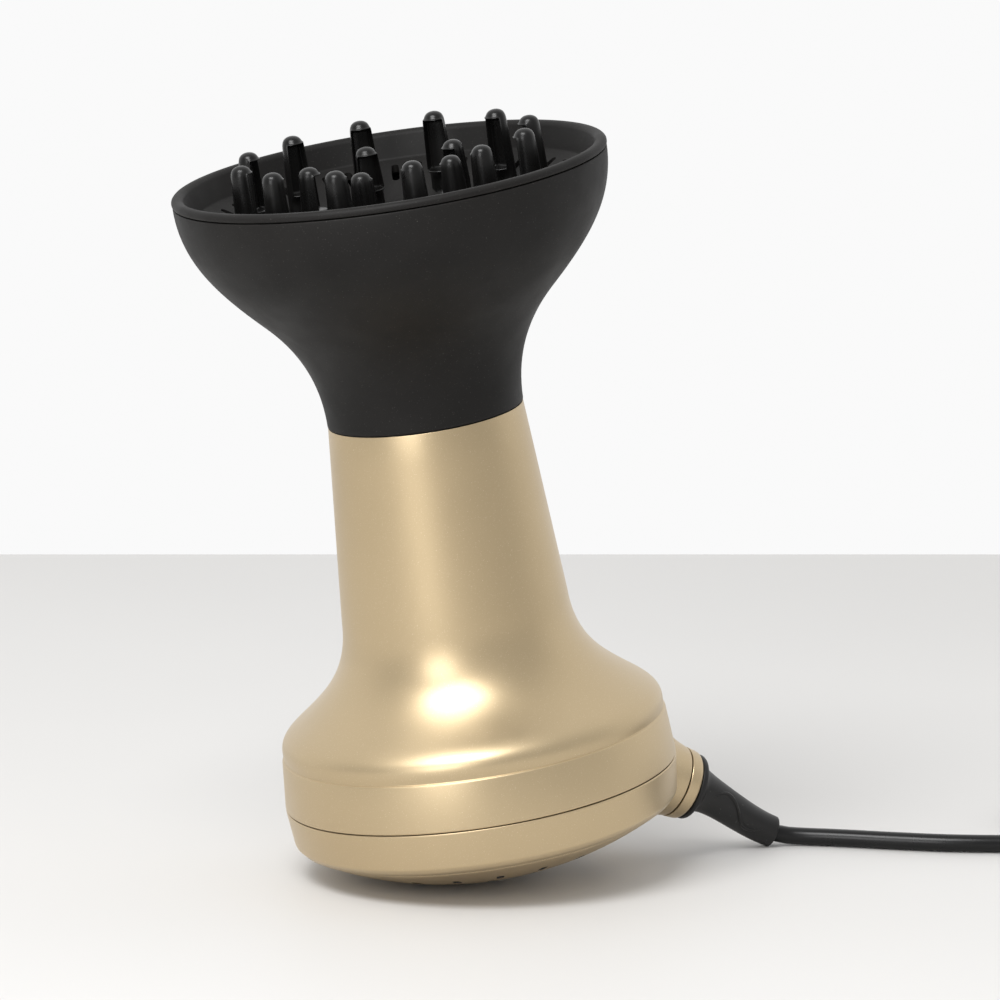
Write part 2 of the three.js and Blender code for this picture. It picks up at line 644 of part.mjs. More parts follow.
function makeHeaterCoil(name, low, turns, pitch) {
  const points = [];
  const perTurn = 10;
  for (let i = 0; i <= turns * perTurn; i += 1) {
    const angle = (2 * Math.PI * i) / perTurn;
    points.push(new THREE.Vector3(
      COIL_RADIUS * Math.cos(angle), COIL_RADIUS * Math.sin(angle), low + (pitch * i) / perTurn,
    ));
  }
  const curve = new THREE.CatmullRomCurve3(points);
  return piece(name, tube(curve, HEATER_WIRE, turns * perTurn, 5), STEEL);
}

function makeSleeve() {
  return piece('mica_sleeve', ring(
    SLEEVE_RADIUS - SLEEVE_WALL, SLEEVE_RADIUS, HEATER_Z - 1, HEATER_Z + HEATER_HEIGHT + 1,
  ), MICA);
}

function makeThermostat() {
  return piece('thermostat', block(9, 9, 14, 11, 11, HEATER_Z + 22), STEEL);
}

function makeThermalFuse() {
  return piece('thermal_fuse', rod(2.2, HEATER_Z + 12, HEATER_Z + 25, 10).translate(-11, 11, 0), STEEL);
}

const SPIGOT_RADIUS = NECK_TOP_RADIUS - BOWL_WALL - 0.4;
const SEAL_Z = SEAM_Z + 5;

function makeOutletGrille() {
  const low = SEAM_Z - 8;
  const top = SEAM_Z + SPIGOT_HEIGHT;
  const inner = SPIGOT_RADIUS - SPIGOT_WALL;
  const seat = Math.min(SPIGOT_RADIUS, housingAt(SEAM_Z) - HOUSING_WALL - GAP);
  const spigot = toSolid(revolve([
    [inner, low], [seat, low], [seat, SEAM_Z + 0.6], [SPIGOT_RADIUS, SEAM_Z + 0.6],
    [SPIGOT_RADIUS, SEAL_Z], [SPIGOT_RADIUS - 1.5, SEAL_Z], [SPIGOT_RADIUS - 1.5, SEAL_Z + 2.6],
    [SPIGOT_RADIUS, SEAL_Z + 2.6], [SPIGOT_RADIUS, top - 1], [SPIGOT_RADIUS - 1, top], [inner, top],
  ]));
  const barZ = top - 4;
  const bars = [
    ...around(3, 0, () => block(2 * inner + 1, 1.6, 4, 0, 0, barZ)),
    ring(14, 15.4, barZ - 1.8, barZ + 1.8, 20),
  ];
  return piece('outlet_grille', toGeometry(join(spigot, bars)), NYLON);
}

function makeSealRing() {
  return piece('outlet_seal', ring(
    SPIGOT_RADIUS - 1.2, SPIGOT_RADIUS + 0.1, SEAL_Z + GAP, SEAL_Z + 2.6 - GAP,
  ), RUBBER);
}

// ---------------------------------------------------------------- switch and wiring
function makeBezel() {
  const { width, height, thickness } = BEZEL;
  const frame = toSolid(block(
    width, thickness, height, 0, SWITCH_FLAT + GAP + thickness / 2, SWITCH_Z,
  ));
  const window = block(WINDOW.width, 8, WINDOW.height, 0, SWITCH_FLAT, SWITCH_Z);
  return piece('switch_bezel', toGeometry(cut(frame, [window])), SOFT_BLACK);
}

function makeSlider() {
  const stem = toSolid(block(SLIDER.width - 3, 7, SLIDER.height - 1, 0, SWITCH_FLAT - 1.6, SWITCH_Z));
  const cap = block(SLIDER.width, 2.6, SLIDER.height, 0, SWITCH_FLAT + 2.9, SWITCH_Z);
  const ribs = [-3, 0, 3].map((x) => block(1, 1.2, SLIDER.height, x, SWITCH_FLAT + 4.4, SWITCH_Z));
  return piece('switch_slider', toGeometry(join(stem, [cap, ...ribs])), GLOSS_BLACK);
}

const SWITCH_BLOCK_Y = SWITCH_FLAT - 5.7;

function makeSwitchBlock() {
  return piece('switch_block', block(22, 5, 9, 0, SWITCH_BLOCK_Y - 2.6, SWITCH_Z), NYLON);
}

const CLAMP_ANGLE = 17;
const LEAD_CIRCLE = (DUCT_RADIUS + DUCT_WALL + BAND_RADIUS - HOUSING_WALL) / 2 - 0.2;
const LEAD_Z = FLOOR_Z + FLOOR_THICKNESS + 4.2;

function makeLead() {
  const polar = (degrees, z) => {
    const angle = THREE.MathUtils.degToRad(degrees);
    return new THREE.Vector3(LEAD_CIRCLE * Math.cos(angle), LEAD_CIRCLE * Math.sin(angle), z);
  };
  const points = [polar(4, LEAD_Z), polar(10, LEAD_Z), polar(22, LEAD_Z), polar(36, LEAD_Z),
    polar(50, LEAD_Z + 1.5), polar(62, LEAD_Z + 5), polar(71, LEAD_Z + 9)];
  return piece('switch_lead', tube(new THREE.CatmullRomCurve3(points), 2.4, 22, 8), GLOSS_BLACK);
}

function makeClamp() {
  const low = FLOOR_Z + FLOOR_THICKNESS + GAP;
  const bridge = toSolid(block(8, 6, 7.4, LEAD_CIRCLE, 0, low + 3.7));
  const channel = block(5.6, 20, 11, LEAD_CIRCLE, 0, low + 1);
  return piece('cord_clamp', turned(toGeometry(cut(bridge, [channel])), CLAMP_ANGLE), NYLON);
}

// ---------------------------------------------------------------- boot, cord and plug
function bootCurve(start, exit) {
  const end = new THREE.Vector3(134.3, 3.9, 4.68);
  const heading = new THREE.Vector3(0.92, -0.12, -0.37).normalize();
  return new THREE.CubicBezierCurve3(
    start.clone().addScaledVector(exit, 1.6), start.clone().addScaledVector(exit, 14),
    end.clone().addScaledVector(heading, -13), end,
  );
}

const BOOT_FLANGE = { radius: 12.6, thickness: 2.6 };

function bootRadius(t) {
  const flare = 3.6 * Math.exp(-t * 7.5) + 1.1 * (1 - t);
  const roundEnd = t > 0.96 ? 0.9 * ((t - 0.96) / 0.04) ** 2 : 0;
  return BOOT_END_RADIUS + flare - roundEnd;
}

function makeBoot(faceCentre, exit) {
  const flange = new THREE.LineCurve3(
    faceCentre.clone().addScaledVector(exit, GAP),
    faceCentre.clone().addScaledVector(exit, GAP + BOOT_FLANGE.thickness),
  );
  const spigot = new THREE.LineCurve3(
    faceCentre.clone().addScaledVector(exit, -COLLAR_LENGTH - 4),
    faceCentre.clone().addScaledVector(exit, GAP + 1),
  );
  const boot = join(toSolid(loft(flange, () => BOOT_FLANGE.radius, 1, 20)), [
    loft(spigot, () => 6.4, 1, 12),
    loft(bootCurve(faceCentre, exit), bootRadius, 14, 14),
  ]);
  return piece('cord_boot', toGeometry(boot), RUBBER);
}

const LAY = CORD_RADIUS + 0.1;    // height of the cord's centre on the table
const CORD_POINTS = [
  [135.4, 3.7, 4.35], [139.6, 2.8, 3.75], [145.6, 0.1, 3.45], [153, -4.4, LAY],
  [161, -10, LAY], [169, -16, LAY], [176, -21.1, LAY], [184, -26.6, LAY], [191, -31, LAY],
  [199, -35.2, LAY], [207, -38.8, LAY], [218, -43.6, LAY], [230, -48.8, LAY],
  [242, -54, LAY], [254, -59.3, LAY], [264, -63.5, LAY], [269.3, -65.5, LAY], [274.8, -66.9, LAY],
];

function makeCord() {
  const curve = new THREE.CatmullRomCurve3(CORD_POINTS.map((p) => new THREE.Vector3(...p)));
  return piece('mains_cord', tube(curve, CORD_RADIUS, 18, 8), GLOSS_BLACK);
}

function makeCoil() {
  const inner = COIL_MID_RADIUS - COIL_WIDTH / 2;
  const outer = COIL_MID_RADIUS + COIL_WIDTH / 2;
  const coil = ring(inner, outer, 0.05, COIL_HEIGHT, 24);
  return piece('cord_coil', coil.translate(COIL_CENTRE.x, COIL_CENTRE.y, 0), GLOSS_BLACK);
}

const TAIL_POINTS = [[337.9, -11, LAY], [338.7, -3, LAY], [340, 5, LAY], [341.8, 13, LAY + 1.4]];
const PLUG_BODY = { width: 27, thickness: 13, length: 30 };

function makeTail() {
  const curve = new THREE.CatmullRomCurve3(TAIL_POINTS.map((p) => new THREE.Vector3(...p)));
  return piece('cord_tail', tube(curve, CORD_RADIUS, 6, 8), GLOSS_BLACK);
}

// The plug lies flat beside the coil, its pins pointing away from the tail.
function makePlug() {
  const parts = [];
  const { width, thickness, length } = PLUG_BODY;
  const plug = new THREE.Group();
  plug.position.set(342, 13.4, thickness / 2);
  plug.rotation.z = THREE.MathUtils.degToRad(-10);
  const body = new THREE.Shape();
  body.moveTo(-5, 0);
  body.lineTo(5, 0);
  body.bezierCurveTo(6, 10, width / 2, 10, width / 2, 20);
  body.lineTo(width / 2, length);
  body.lineTo(-width / 2, length);
  body.lineTo(-width / 2, 20);
  body.bezierCurveTo(-width / 2, 10, -6, 10, -5, 0);
  const bodyGeometry = new THREE.ExtrudeGeometry(body, {
    depth: thickness - 2, bevelEnabled: true, bevelThickness: 1, bevelSize: 1, bevelOffset: -1,
    bevelSegments: 1, curveSegments: 5,
  }).translate(0, 0.3, -(thickness - 2) / 2);
  parts.push(piece('plug_body', bodyGeometry, GLOSS_BLACK));
  for (const [name, x] of [['plug_pin_left', -9.5], ['plug_pin_right', 9.5]]) {
    const pin = revolve([
      [0, 0], [2, 0], [2, 17.5], [1.4, 19], [0, 19],
    ], 10).rotateX(-Math.PI / 2).translate(x, length + GAP + 0.3, 0);
    parts.push(piece(name, pin, BRASS));
  }
  plug.add(...parts);
  return plug;
}

// ---------------------------------------------------------------- assembly
const dryer = new THREE.Group();
dryer.add(
  makeFrontHousing(), makeRearHousing(), makeCollar(), makeDuct(), makeMotorMount(),
  makeMotorCan(), makeEndBell(), makeBearing('bearing_rear', MOTOR_Z - 0.8),
  makeBearing('bearing_front', MOTOR_Z + MOTOR_LENGTH - 1.4), makeRectifier(),
  makeHeaterBoard('heater_board_a', 0, true), makeHeaterBoard('heater_board_b', 90, false),
  makeHeaterCoil('heater_coil_low', HEATER_Z + 5, 4, 5),
  makeHeaterCoil('heater_coil_high', HEATER_Z + 32, 5, 4.6),
  makeSleeve(), makeThermostat(), makeThermalFuse(), makeOutletGrille(), makeSealRing(),
  makeBezel(), makeSwitchBlock(), makeLead(), makeClamp(),
  ...SCREW_ANGLES.map((degrees, i) => makeHousingScrew(degrees, i + 1)),
  makeIntakeCover(), makeFilter(), makeImpeller(), makeShaft(), makeArmature(),
  makeCommutator(), makeSlider(), makeBowl(), makeComb(),
);
dryer.rotation.y = -THREE.MathUtils.degToRad(LEAN);
dryer.updateMatrixWorld(true);
const stance = new THREE.Box3().setFromObject(dryer, true);
dryer.position.set(-(stance.min.x + stance.max.x) / 2, 0, -stance.min.z);
dryer.updateMatrixWorld(true);

const faceCentre = new THREE.Vector3(COLLAR_REACH, 0, COLLAR_Z).applyMatrix4(dryer.matrixWorld);
const tilt = THREE.MathUtils.degToRad(COLLAR_TILT);
const exit = new THREE.Vector3(Math.cos(tilt), 0, -Math.sin(tilt)).transformDirection(dryer.matrixWorld);

const object = new THREE.Group();
object.add(dryer, makeBoot(faceCentre, exit), makeCord(), makeCoil(), makeTail(), makePlug());
object.updateMatrixWorld(true);

export default object;
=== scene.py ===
"""Visual model of a handle-less hair dryer with a comb diffuser on its outlet.

The dryer rests on its domed intake cover and on the cord boot. All pieces are made upright on the
body axis, in millimetres that are turned into metres as they are placed, and then leaned together.
"""
import json
import logging
import math
from contextlib import contextmanager
from dataclasses import dataclass, field
from enum import Enum
from typing import Iterable, Iterator, Sequence

import bmesh
import bpy
from mathutils import Matrix, Vector


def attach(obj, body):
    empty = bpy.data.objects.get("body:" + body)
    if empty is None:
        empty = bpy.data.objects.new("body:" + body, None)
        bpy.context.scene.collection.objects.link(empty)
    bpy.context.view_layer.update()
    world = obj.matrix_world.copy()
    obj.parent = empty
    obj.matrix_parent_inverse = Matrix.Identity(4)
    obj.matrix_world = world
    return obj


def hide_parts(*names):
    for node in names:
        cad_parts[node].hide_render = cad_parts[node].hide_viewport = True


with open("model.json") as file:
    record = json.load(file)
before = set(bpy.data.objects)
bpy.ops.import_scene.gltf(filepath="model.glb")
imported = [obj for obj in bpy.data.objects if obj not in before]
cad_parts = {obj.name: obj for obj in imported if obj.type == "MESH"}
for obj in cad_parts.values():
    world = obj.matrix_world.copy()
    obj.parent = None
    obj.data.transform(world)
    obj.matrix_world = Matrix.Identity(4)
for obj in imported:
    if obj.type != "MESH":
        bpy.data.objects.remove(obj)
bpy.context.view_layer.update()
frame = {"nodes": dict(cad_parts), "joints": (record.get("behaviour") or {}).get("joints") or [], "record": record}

LOG = logging.getLogger("diffuser_dryer")
MM = 0.001
Point = tuple[float, float]
Triple = tuple[float, float, float]
Obj = bpy.types.Object
Socket = bpy.types.NodeSocket

# Heights on the body axis above the lowest point of the dome, and radii, in millimetres.
CREASE = 20.374
PARTING = CREASE + 14.4
SHOULDER = PARTING + 18.0
SEAM = SHOULDER + 121.6
RIM = SEAM + 92.5
BAND_RADIUS = 73.0
CREASE_RADIUS = 71.6
SWITCH_HEIGHT = PARTING + 9.6
SWITCH_SEAT = 70.8
SWITCH_OPENING = (19.4, 5.4)
GAP = 0.3

# Cord exit: centre of the collar's face, and how far it points below the radius, in degrees.
COLLAR_REACH = 80.5
COLLAR_HEIGHT = CREASE - 7.4
COLLAR_TILT = 31.0


class Body(Enum):
    """The bodies of the frame that pieces ride on."""

    HOUSING = "body"
    INTAKE = "intake"
    ROTOR = "rotor"
    SWITCH = "switch"
    DIFFUSER = "diffuser"


class Grain(Enum):
    """How the fine structure of a surface runs."""

    EVEN = "even"
    BRUSHED = "brushed"
    FLAKED = "flaked"


# ------------------------------------------------------------------------------ finishes
@dataclass(frozen=True)
class Finish:
    """A surface finish that becomes one node material.

    Sizes of patterns are given as repeats per metre, bump depths in metres.
    """

    slot: str
    colour: Triple
    drift: Triple
    roughness: tuple[float, float]
    metallic: float = 0.0
    drift_repeats: float = 16.0
    grain: Grain = Grain.EVEN
    grain_repeats: float = 2400.0
    grain_depth: float = 0.00002
    grain_strength: float = 0.25
    smudge_repeats: float = 60.0
    speck: Triple = (0.5, 0.5, 0.5)
    speck_share: float = 0.0
    speck_repeats: float = 900.0
    wear: Triple = (0.5, 0.5, 0.5)
    wear_amount: float = 0.0
    coat: float = 0.0
    coat_roughness: float = 0.15
    specular: float = 0.5
    sheen: float = 0.0

    def material(self, suffix: str = "") -> bpy.types.Material:
        """Returns the material of this finish, made the first time it is asked for.

        Args:
            suffix: sets a second finish of the same slot apart.

        Returns:
            The node material.
        """
        name = "finish_" + self.slot + suffix
        known = bpy.data.materials.get(name)
        if known:
            return known
        made = bpy.data.materials.new(name)
        made.use_nodes = True
        tree = NodeBench(made.node_tree)
        shader = tree.shader
        shader.inputs["Metallic"].default_value = self.metallic
        shader.inputs["Coat Weight"].default_value = self.coat
        shader.inputs["Coat Roughness"].default_value = self.coat_roughness
        shader.inputs["Specular IOR Level"].default_value = self.specular
        shader.inputs["Sheen Weight"].default_value = self.sheen
        tree.link(self._colour(tree), shader.inputs["Base Color"])
        smudge = tree.noise(self.smudge_repeats, 4.0)
        tree.link(tree.spread(smudge, 0.32, 0.68, *self.roughness), shader.inputs["Roughness"])
        tree.link(self._bump(tree), shader.inputs["Normal"])
        return made

    def _colour(self, tree: "NodeBench") -> Socket:
        """Mixes drift, specks and edge wear into the base colour.

        Args:
            tree: the node bench of the material.

        Returns:
            The colour output of the last mix.
        """
        share = tree.spread(tree.noise(self.drift_repeats, 3.0), 0.35, 0.65, 0.0, 1.0)
        mixed = tree.blend(share, self.colour, self.drift)
        if self.speck_share > 0:
            specks = tree.noise(self.speck_repeats, 1.0)
            edge = 0.72 - 0.12 * self.speck_share
            mixed = tree.blend(tree.spread(specks, edge, edge + 0.06, 0.0, 0.8), mixed, self.speck)
        if self.wear_amount > 0:
            rubbed = tree.spread(tree.pointiness(), 0.52, 0.6, 0.0, self.wear_amount)
            patchy = tree.times(rubbed, tree.spread(tree.noise(180.0, 3.0), 0.4, 0.6, 0.0, 1.0))
            mixed = tree.blend(patchy, mixed, self.wear)
        return mixed

    def _bump(self, tree: "NodeBench") -> Socket:
        """Makes the fine relief of the surface.

        Args:
            tree: the node bench of the material.

        Returns:
            The normal output of the bump node.
        """
        if self.grain is Grain.BRUSHED:
            height = tree.noise(self.grain_repeats, 2.0, stretch=(1.0, 1.0, 0.04))
        elif self.grain is Grain.FLAKED:
            height = tree.cells(self.grain_repeats)
        else:
            height = tree.noise(self.grain_repeats, 2.0)
        return tree.bump(height, self.grain_strength, self.grain_depth)


class NodeBench:
    """Short names for the nodes that the finishes are built from."""

    def __init__(self, tree: bpy.types.NodeTree) -> None:
        """Takes an empty material tree and finds its shader.

        Args:
            tree: the node tree of a new material.
        """
        self.tree = tree
        self.shader = tree.nodes["Principled BSDF"]
        self.place = tree.nodes.new("ShaderNodeTexCoord").outputs["Object"]

    def link(self, source: Socket, target: Socket) -> None:
        """Joins an output to an input."""
        self.tree.links.new(source, target)

    def noise(
        self, repeats: float, detail: float, stretch: Triple = (1.0, 1.0, 1.0)
    ) -> Socket:
        """Adds a noise on object coordinates.

        Args:
            repeats: waves per metre.
            detail: octaves of finer noise.
            stretch: scale of the three axes before the noise is read.

        Returns:
            The noise value, from 0 to 1.
        """
        node = self.tree.nodes.new("ShaderNodeTexNoise")
        node.inputs["Scale"].default_value = repeats
        node.inputs["Detail"].default_value = detail
        mapping = self.tree.nodes.new("ShaderNodeMapping")
        mapping.inputs["Scale"].default_value = stretch
        self.link(self.place, mapping.inputs["Vector"])
        self.link(mapping.outputs["Vector"], node.inputs["Vector"])
        return node.outputs["Fac"]

    def cells(self, repeats: float) -> Socket:
        """Adds a cell pattern and returns its distance value.

        Args:
            repeats: how many cells there are.

        Returns:
            The socket of the pattern.
        """
        node = self.tree.nodes.new("ShaderNodeTexVoronoi")
        node.inputs["Scale"].default_value = repeats
        self.link(self.place, node.inputs["Vector"])
        return node.outputs["Distance"]

    def pointiness(self) -> Socket:
        """Returns how much each place stands out as an edge."""
        return self.tree.nodes.new("ShaderNodeNewGeometry").outputs["Pointiness"]

    def spread(
        self, value: Socket, low: float, high: float, to_low: float, to_high: float
    ) -> Socket:
        """Maps a value from one range to another.

        Args:
            value: the value to map.
            low: value that becomes to_low.
            high: value that becomes to_high.
            to_low: lowest result.
            to_high: highest result.

        Returns:
            The mapped value.
        """
        node = self.tree.nodes.new("ShaderNodeMapRange")
        for name, number in zip(("From Min", "From Max", "To Min", "To Max"),
                                (low, high, to_low, to_high)):
            node.inputs[name].default_value = number
        self.link(value, node.inputs["Value"])
        return node.outputs["Result"]

    def times(self, a: Socket, b: Socket) -> Socket:
        """Multiplies two values.

        Args:
            a: first factor.
            b: second factor.

        Returns:
            The product.
        """
        node = self.tree.nodes.new("ShaderNodeMath")
        node.operation = "MULTIPLY"
        self.link(a, node.inputs[0])
        self.link(b, node.inputs[1])
        return node.outputs["Value"]

    def blend(
        self, share: Socket, a: Socket | Triple, b: Triple
    ) -> Socket:
        """Mixes two colours by a share.

        Args:
            share: 0 for a, 1 for b.
            a: first colour, or the output that holds it.
            b: second colour.

        Returns:
            The mixed colour.
        """
        node = self.tree.nodes.new("ShaderNodeMix")
        node.data_type = "RGBA"
        self.link(share, node.inputs[0])
        if isinstance(a, tuple):
            node.inputs[6].default_value = (*a, 1.0)
        else:
            self.link(a, node.inputs[6])
        node.inputs[7].default_value = (*b, 1.0)
        return node.outputs[2]

    def bump(self, height: Socket, strength: float, depth: float) -> Socket:
        """Turns a height into a bent normal and returns it.

        Args:
            height: socket of the height.
            strength: how strongly it shows.
            depth: greatest depth.

        Returns:
            The socket of the normal.
        """
        node = self.tree.nodes.new("ShaderNodeBump")
        node.inputs["Strength"].default_value = strength
        node.inputs["Distance"].default_value = depth
        self.link(height, node.inputs["Height"])
        return node.outputs["Normal"]


CHAMPAGNE_PAINT = Finish(
    "body_gold", (0.53, 0.415, 0.255), (0.57, 0.45, 0.28), (0.35, 0.41), metallic=0.92,
    drift_repeats=9.0, grain_repeats=4200.0, grain_depth=0.00001, grain_strength=0.2,
    smudge_repeats=35.0, speck=(0.72, 0.61, 0.42), speck_share=0.4, speck_repeats=3000.0,
    wear=(0.68, 0.58, 0.42), wear_amount=0.25, coat=0.12, coat_roughness=0.3,
)
# Dark bare moulding for the inner faces of the painted shells; on the slot walls of the intake cover the same
# colour is painted shade that keeps the slots dark.
BARE_MOULDING_AND_SLOT_SHADE = Finish(
    "body_gold", (0.014, 0.014, 0.014), (0.020, 0.020, 0.020), (0.5, 0.62),
    grain_repeats=1600.0, grain_depth=0.00004, grain_strength=0.3,
)
SOFT_BLACK = Finish(
    "diffuser_black", (0.0045, 0.0040, 0.0036), (0.0070, 0.0062, 0.0056), (0.52, 0.62),
    drift_repeats=22.0, grain_repeats=2600.0, grain_depth=0.00003, grain_strength=0.22,
    speck=(0.055, 0.052, 0.048), speck_share=0.1, speck_repeats=2100.0,
    wear=(0.13, 0.12, 0.11), wear_amount=0.12, specular=0.24,
)
COMB_BLACK = Finish(
    "diffuser_black", (0.0030, 0.0029, 0.0028), (0.0045, 0.0043, 0.0041), (0.24, 0.34),
    drift_repeats=60.0, grain_repeats=1900.0, grain_depth=0.00002, grain_strength=0.15,
    specular=0.32, coat=0.06, coat_roughness=0.15,
)
BOOT_RUBBER = Finish(
    "boot_rubber", (0.005, 0.0048, 0.0047), (0.008, 0.0077, 0.0075), (0.40, 0.52),
    drift_repeats=60.0, grain_repeats=1800.0, grain_depth=0.00004, grain_strength=0.3,
    speck=(0.05, 0.05, 0.05), speck_share=0.1, specular=0.4,
)
CORD_SHEATH = Finish(
    "cord_black", (0.0022, 0.0022, 0.0024), (0.0040, 0.0040, 0.0043), (0.24, 0.32),
    drift_repeats=40.0, grain_repeats=700.0, grain_depth=0.00005, grain_strength=0.15,
    specular=0.35,
)
GLOSS_BLACK = Finish(
    "gloss_black", (0.015, 0.015, 0.016), (0.021, 0.021, 0.022), (0.18, 0.28),
    grain_repeats=1500.0, grain_depth=0.00001, coat=0.4, wear=(0.15, 0.15, 0.15), wear_amount=0.2,
)
GREY_NYLON = Finish(
    "inner_nylon", (0.045, 0.045, 0.048), (0.060, 0.060, 0.062), (0.45, 0.58),
    grain_repeats=1600.0, grain_depth=0.00004, grain_strength=0.3,
    speck=(0.12, 0.12, 0.12), speck_share=0.3,
)
DRAWN_STEEL = Finish(
    "steel", (0.52, 0.53, 0.55), (0.60, 0.60, 0.61), (0.26, 0.42), metallic=1.0,
    grain=Grain.BRUSHED, grain_repeats=3200.0, grain_depth=0.00002,
    wear=(0.75, 0.75, 0.76), wear_amount=0.4,
)
TURNED_BRASS = Finish(
    "brass", (0.58, 0.43, 0.17), (0.50, 0.35, 0.13), (0.24, 0.38), metallic=1.0,
    drift_repeats=120.0, grain=Grain.BRUSHED, grain_repeats=2600.0,
)
PRESSED_MICA = Finish(
    "mica", (0.60, 0.54, 0.37), (0.42, 0.36, 0.22), (0.35, 0.6), drift_repeats=140.0,
    grain=Grain.FLAKED, grain_repeats=500.0, grain_depth=0.00008, grain_strength=0.5,
    speck=(0.8, 0.76, 0.6), speck_share=0.6, speck_repeats=420.0,
)
CIRCUIT_BOARD = Finish(
    "board", (0.03, 0.16, 0.07), (0.04, 0.21, 0.10), (0.3, 0.45), drift_repeats=200.0,
    grain_repeats=1200.0, coat=0.2,
)
FINISHES = {made.slot: made for made in (
    CHAMPAGNE_PAINT, SOFT_BLACK, BOOT_RUBBER, CORD_SHEATH, GLOSS_BLACK, GREY_NYLON, DRAWN_STEEL,
    TURNED_BRASS, PRESSED_MICA, CIRCUIT_BOARD,
)}


# ------------------------------------------------------------------------------ outlines
def cubic(a: Point, b: Point, c: Point, d: Point, steps: int) -> list[Point]:
    """Samples a cubic curve through a and d with handles b and c, without its first point.

    Args:
        a: first point.
        b: first handle.
        c: second handle.
        d: last point.
        steps: number of stretches.

    Returns:
        The points of the curve.
    """
    made = []
    for i in range(1, steps + 1):
        t = i / steps
        s = 1 - t
        made.append(tuple(
            s ** 3 * a[k] + 3 * s * s * t * b[k] + 3 * s * t * t * c[k] + t ** 3 * d[k] for k in (0, 1)
        ))
    return made


def quadratic(a: Point, b: Point, c: Point, steps: int) -> list[Point]:
    """Samples a quadratic curve from a to c with handle b, without its first point.

    Args:
        a: first point.
        b: handle.
        c: last point.
        steps: number of stretches.

    Returns:
        The points of the curve.
    """
    third = 2 / 3
    first = tuple(a[k] + third * (b[k] - a[k]) for k in (0, 1))
    second = tuple(c[k] + third * (b[k] - c[k]) for k in (0, 1))
    return cubic(a, first, second, c, steps)


def softened(points: Sequence[Point], radius: float, closed: bool = True, steps: int = 3) -> list[Point]:
    """Rounds every corner of an outline that turns by more than 20 degrees.

    Args:
        points: corners of the outline, in millimetres.
        radius: how far from a corner the rounding starts.
        closed: whether the last point joins the first.
        steps: chords in each rounded corner.

    Returns:
        The outline with its corners replaced by short curves.
    """
    made: list[Point] = []
    count = len(points)
    for i, here in enumerate(points):
        if not closed and i in (0, count - 1):
            made.append(here)
            continue
        before, after = Vector(points[i - 1]), Vector(points[(i + 1) % count])
        corner = Vector(here)
        into, out = corner - before, after - corner
        if min(into.length, out.length) < 1e-6 or into.angle(out) < math.radians(20):
            made.append(here)
            continue
        start = corner - into.normalized() * min(radius, into.length * 0.45)
        end = corner + out.normalized() * min(radius, out.length * 0.45)
        made.append(tuple(start))
        made.extend(quadratic(tuple(start), here, tuple(end), steps))
    return made


def offset(points: Sequence[Point], wall: float) -> list[Point]:
    """Moves an outline inwards by a wall thickness, square to its own run.

    Args:
        points: an outline.
        wall: distance to move it.

    Returns:
        The moved outline.
    """
    made = []
    for i, (r, z) in enumerate(points):
        r0, z0 = points[max(i - 1, 0)]
        r1, z1 = points[min(i + 1, len(points) - 1)]
        run = math.hypot(r1 - r0, z1 - z0) or 1.0
        made.append((r - wall * (z1 - z0) / run, z + wall * (r1 - r0) / run))
    return made


# ------------------------------------------------------------------------------ workbench
def clear_selection() -> None:
    """Leaves object mode with nothing selected."""
    if bpy.context.object and bpy.context.object.mode != "OBJECT":
        bpy.ops.object.mode_set(mode="OBJECT")
    bpy.ops.object.select_all(action="DESELECT")


def pick(*objects: Obj) -> None:
    """Selects these objects only, the first one active."""
    clear_selection()
    for obj in objects:
        obj.select_set(True)
    bpy.context.view_layer.objects.active = objects[0]


@contextmanager
def editing(obj: Obj) -> Iterator[None]:
    """Opens an object in edit mode with everything selected, and closes it afterwards.

    Args:
        obj: the mesh to edit.

    Yields:
        Nothing, while the mesh is in edit mode.
    """
    pick(obj)
    bpy.ops.object.mode_set(mode="EDIT")
    bpy.ops.mesh.select_all(action="SELECT")
    yield
    bpy.ops.object.mode_set(mode="OBJECT")


def tidy_mesh(obj: Obj, distance: float = 0.00001) -> None:
    """Merges doubles and turns the faces outwards.

    Args:
        obj: the mesh.
        distance: doubles closer than this are merged.
    """
    with editing(obj):
        bpy.ops.mesh.remove_doubles(threshold=distance)
        bpy.ops.mesh.normals_make_consistent(inside=False)


def bake_transform() -> None:
    """Applies place, turn and size of the selected object to its mesh."""
    bpy.ops.object.transform_apply(location=True, rotation=True, scale=True)


def apply_modifier(obj: Obj, name: str, kind: str, **settings: object) -> None:
    """Adds a modifier with its settings and applies it.

    Args:
        obj: the object to change.
        name: name of the modifier.
        kind: its type.
        settings: its properties by name.
    """
    pick(obj)
    modifier = obj.modifiers.new(name, kind)
    for key, value in settings.items():
        setattr(modifier, key, value)
    bpy.ops.object.modifier_apply(modifier=modifier.name)


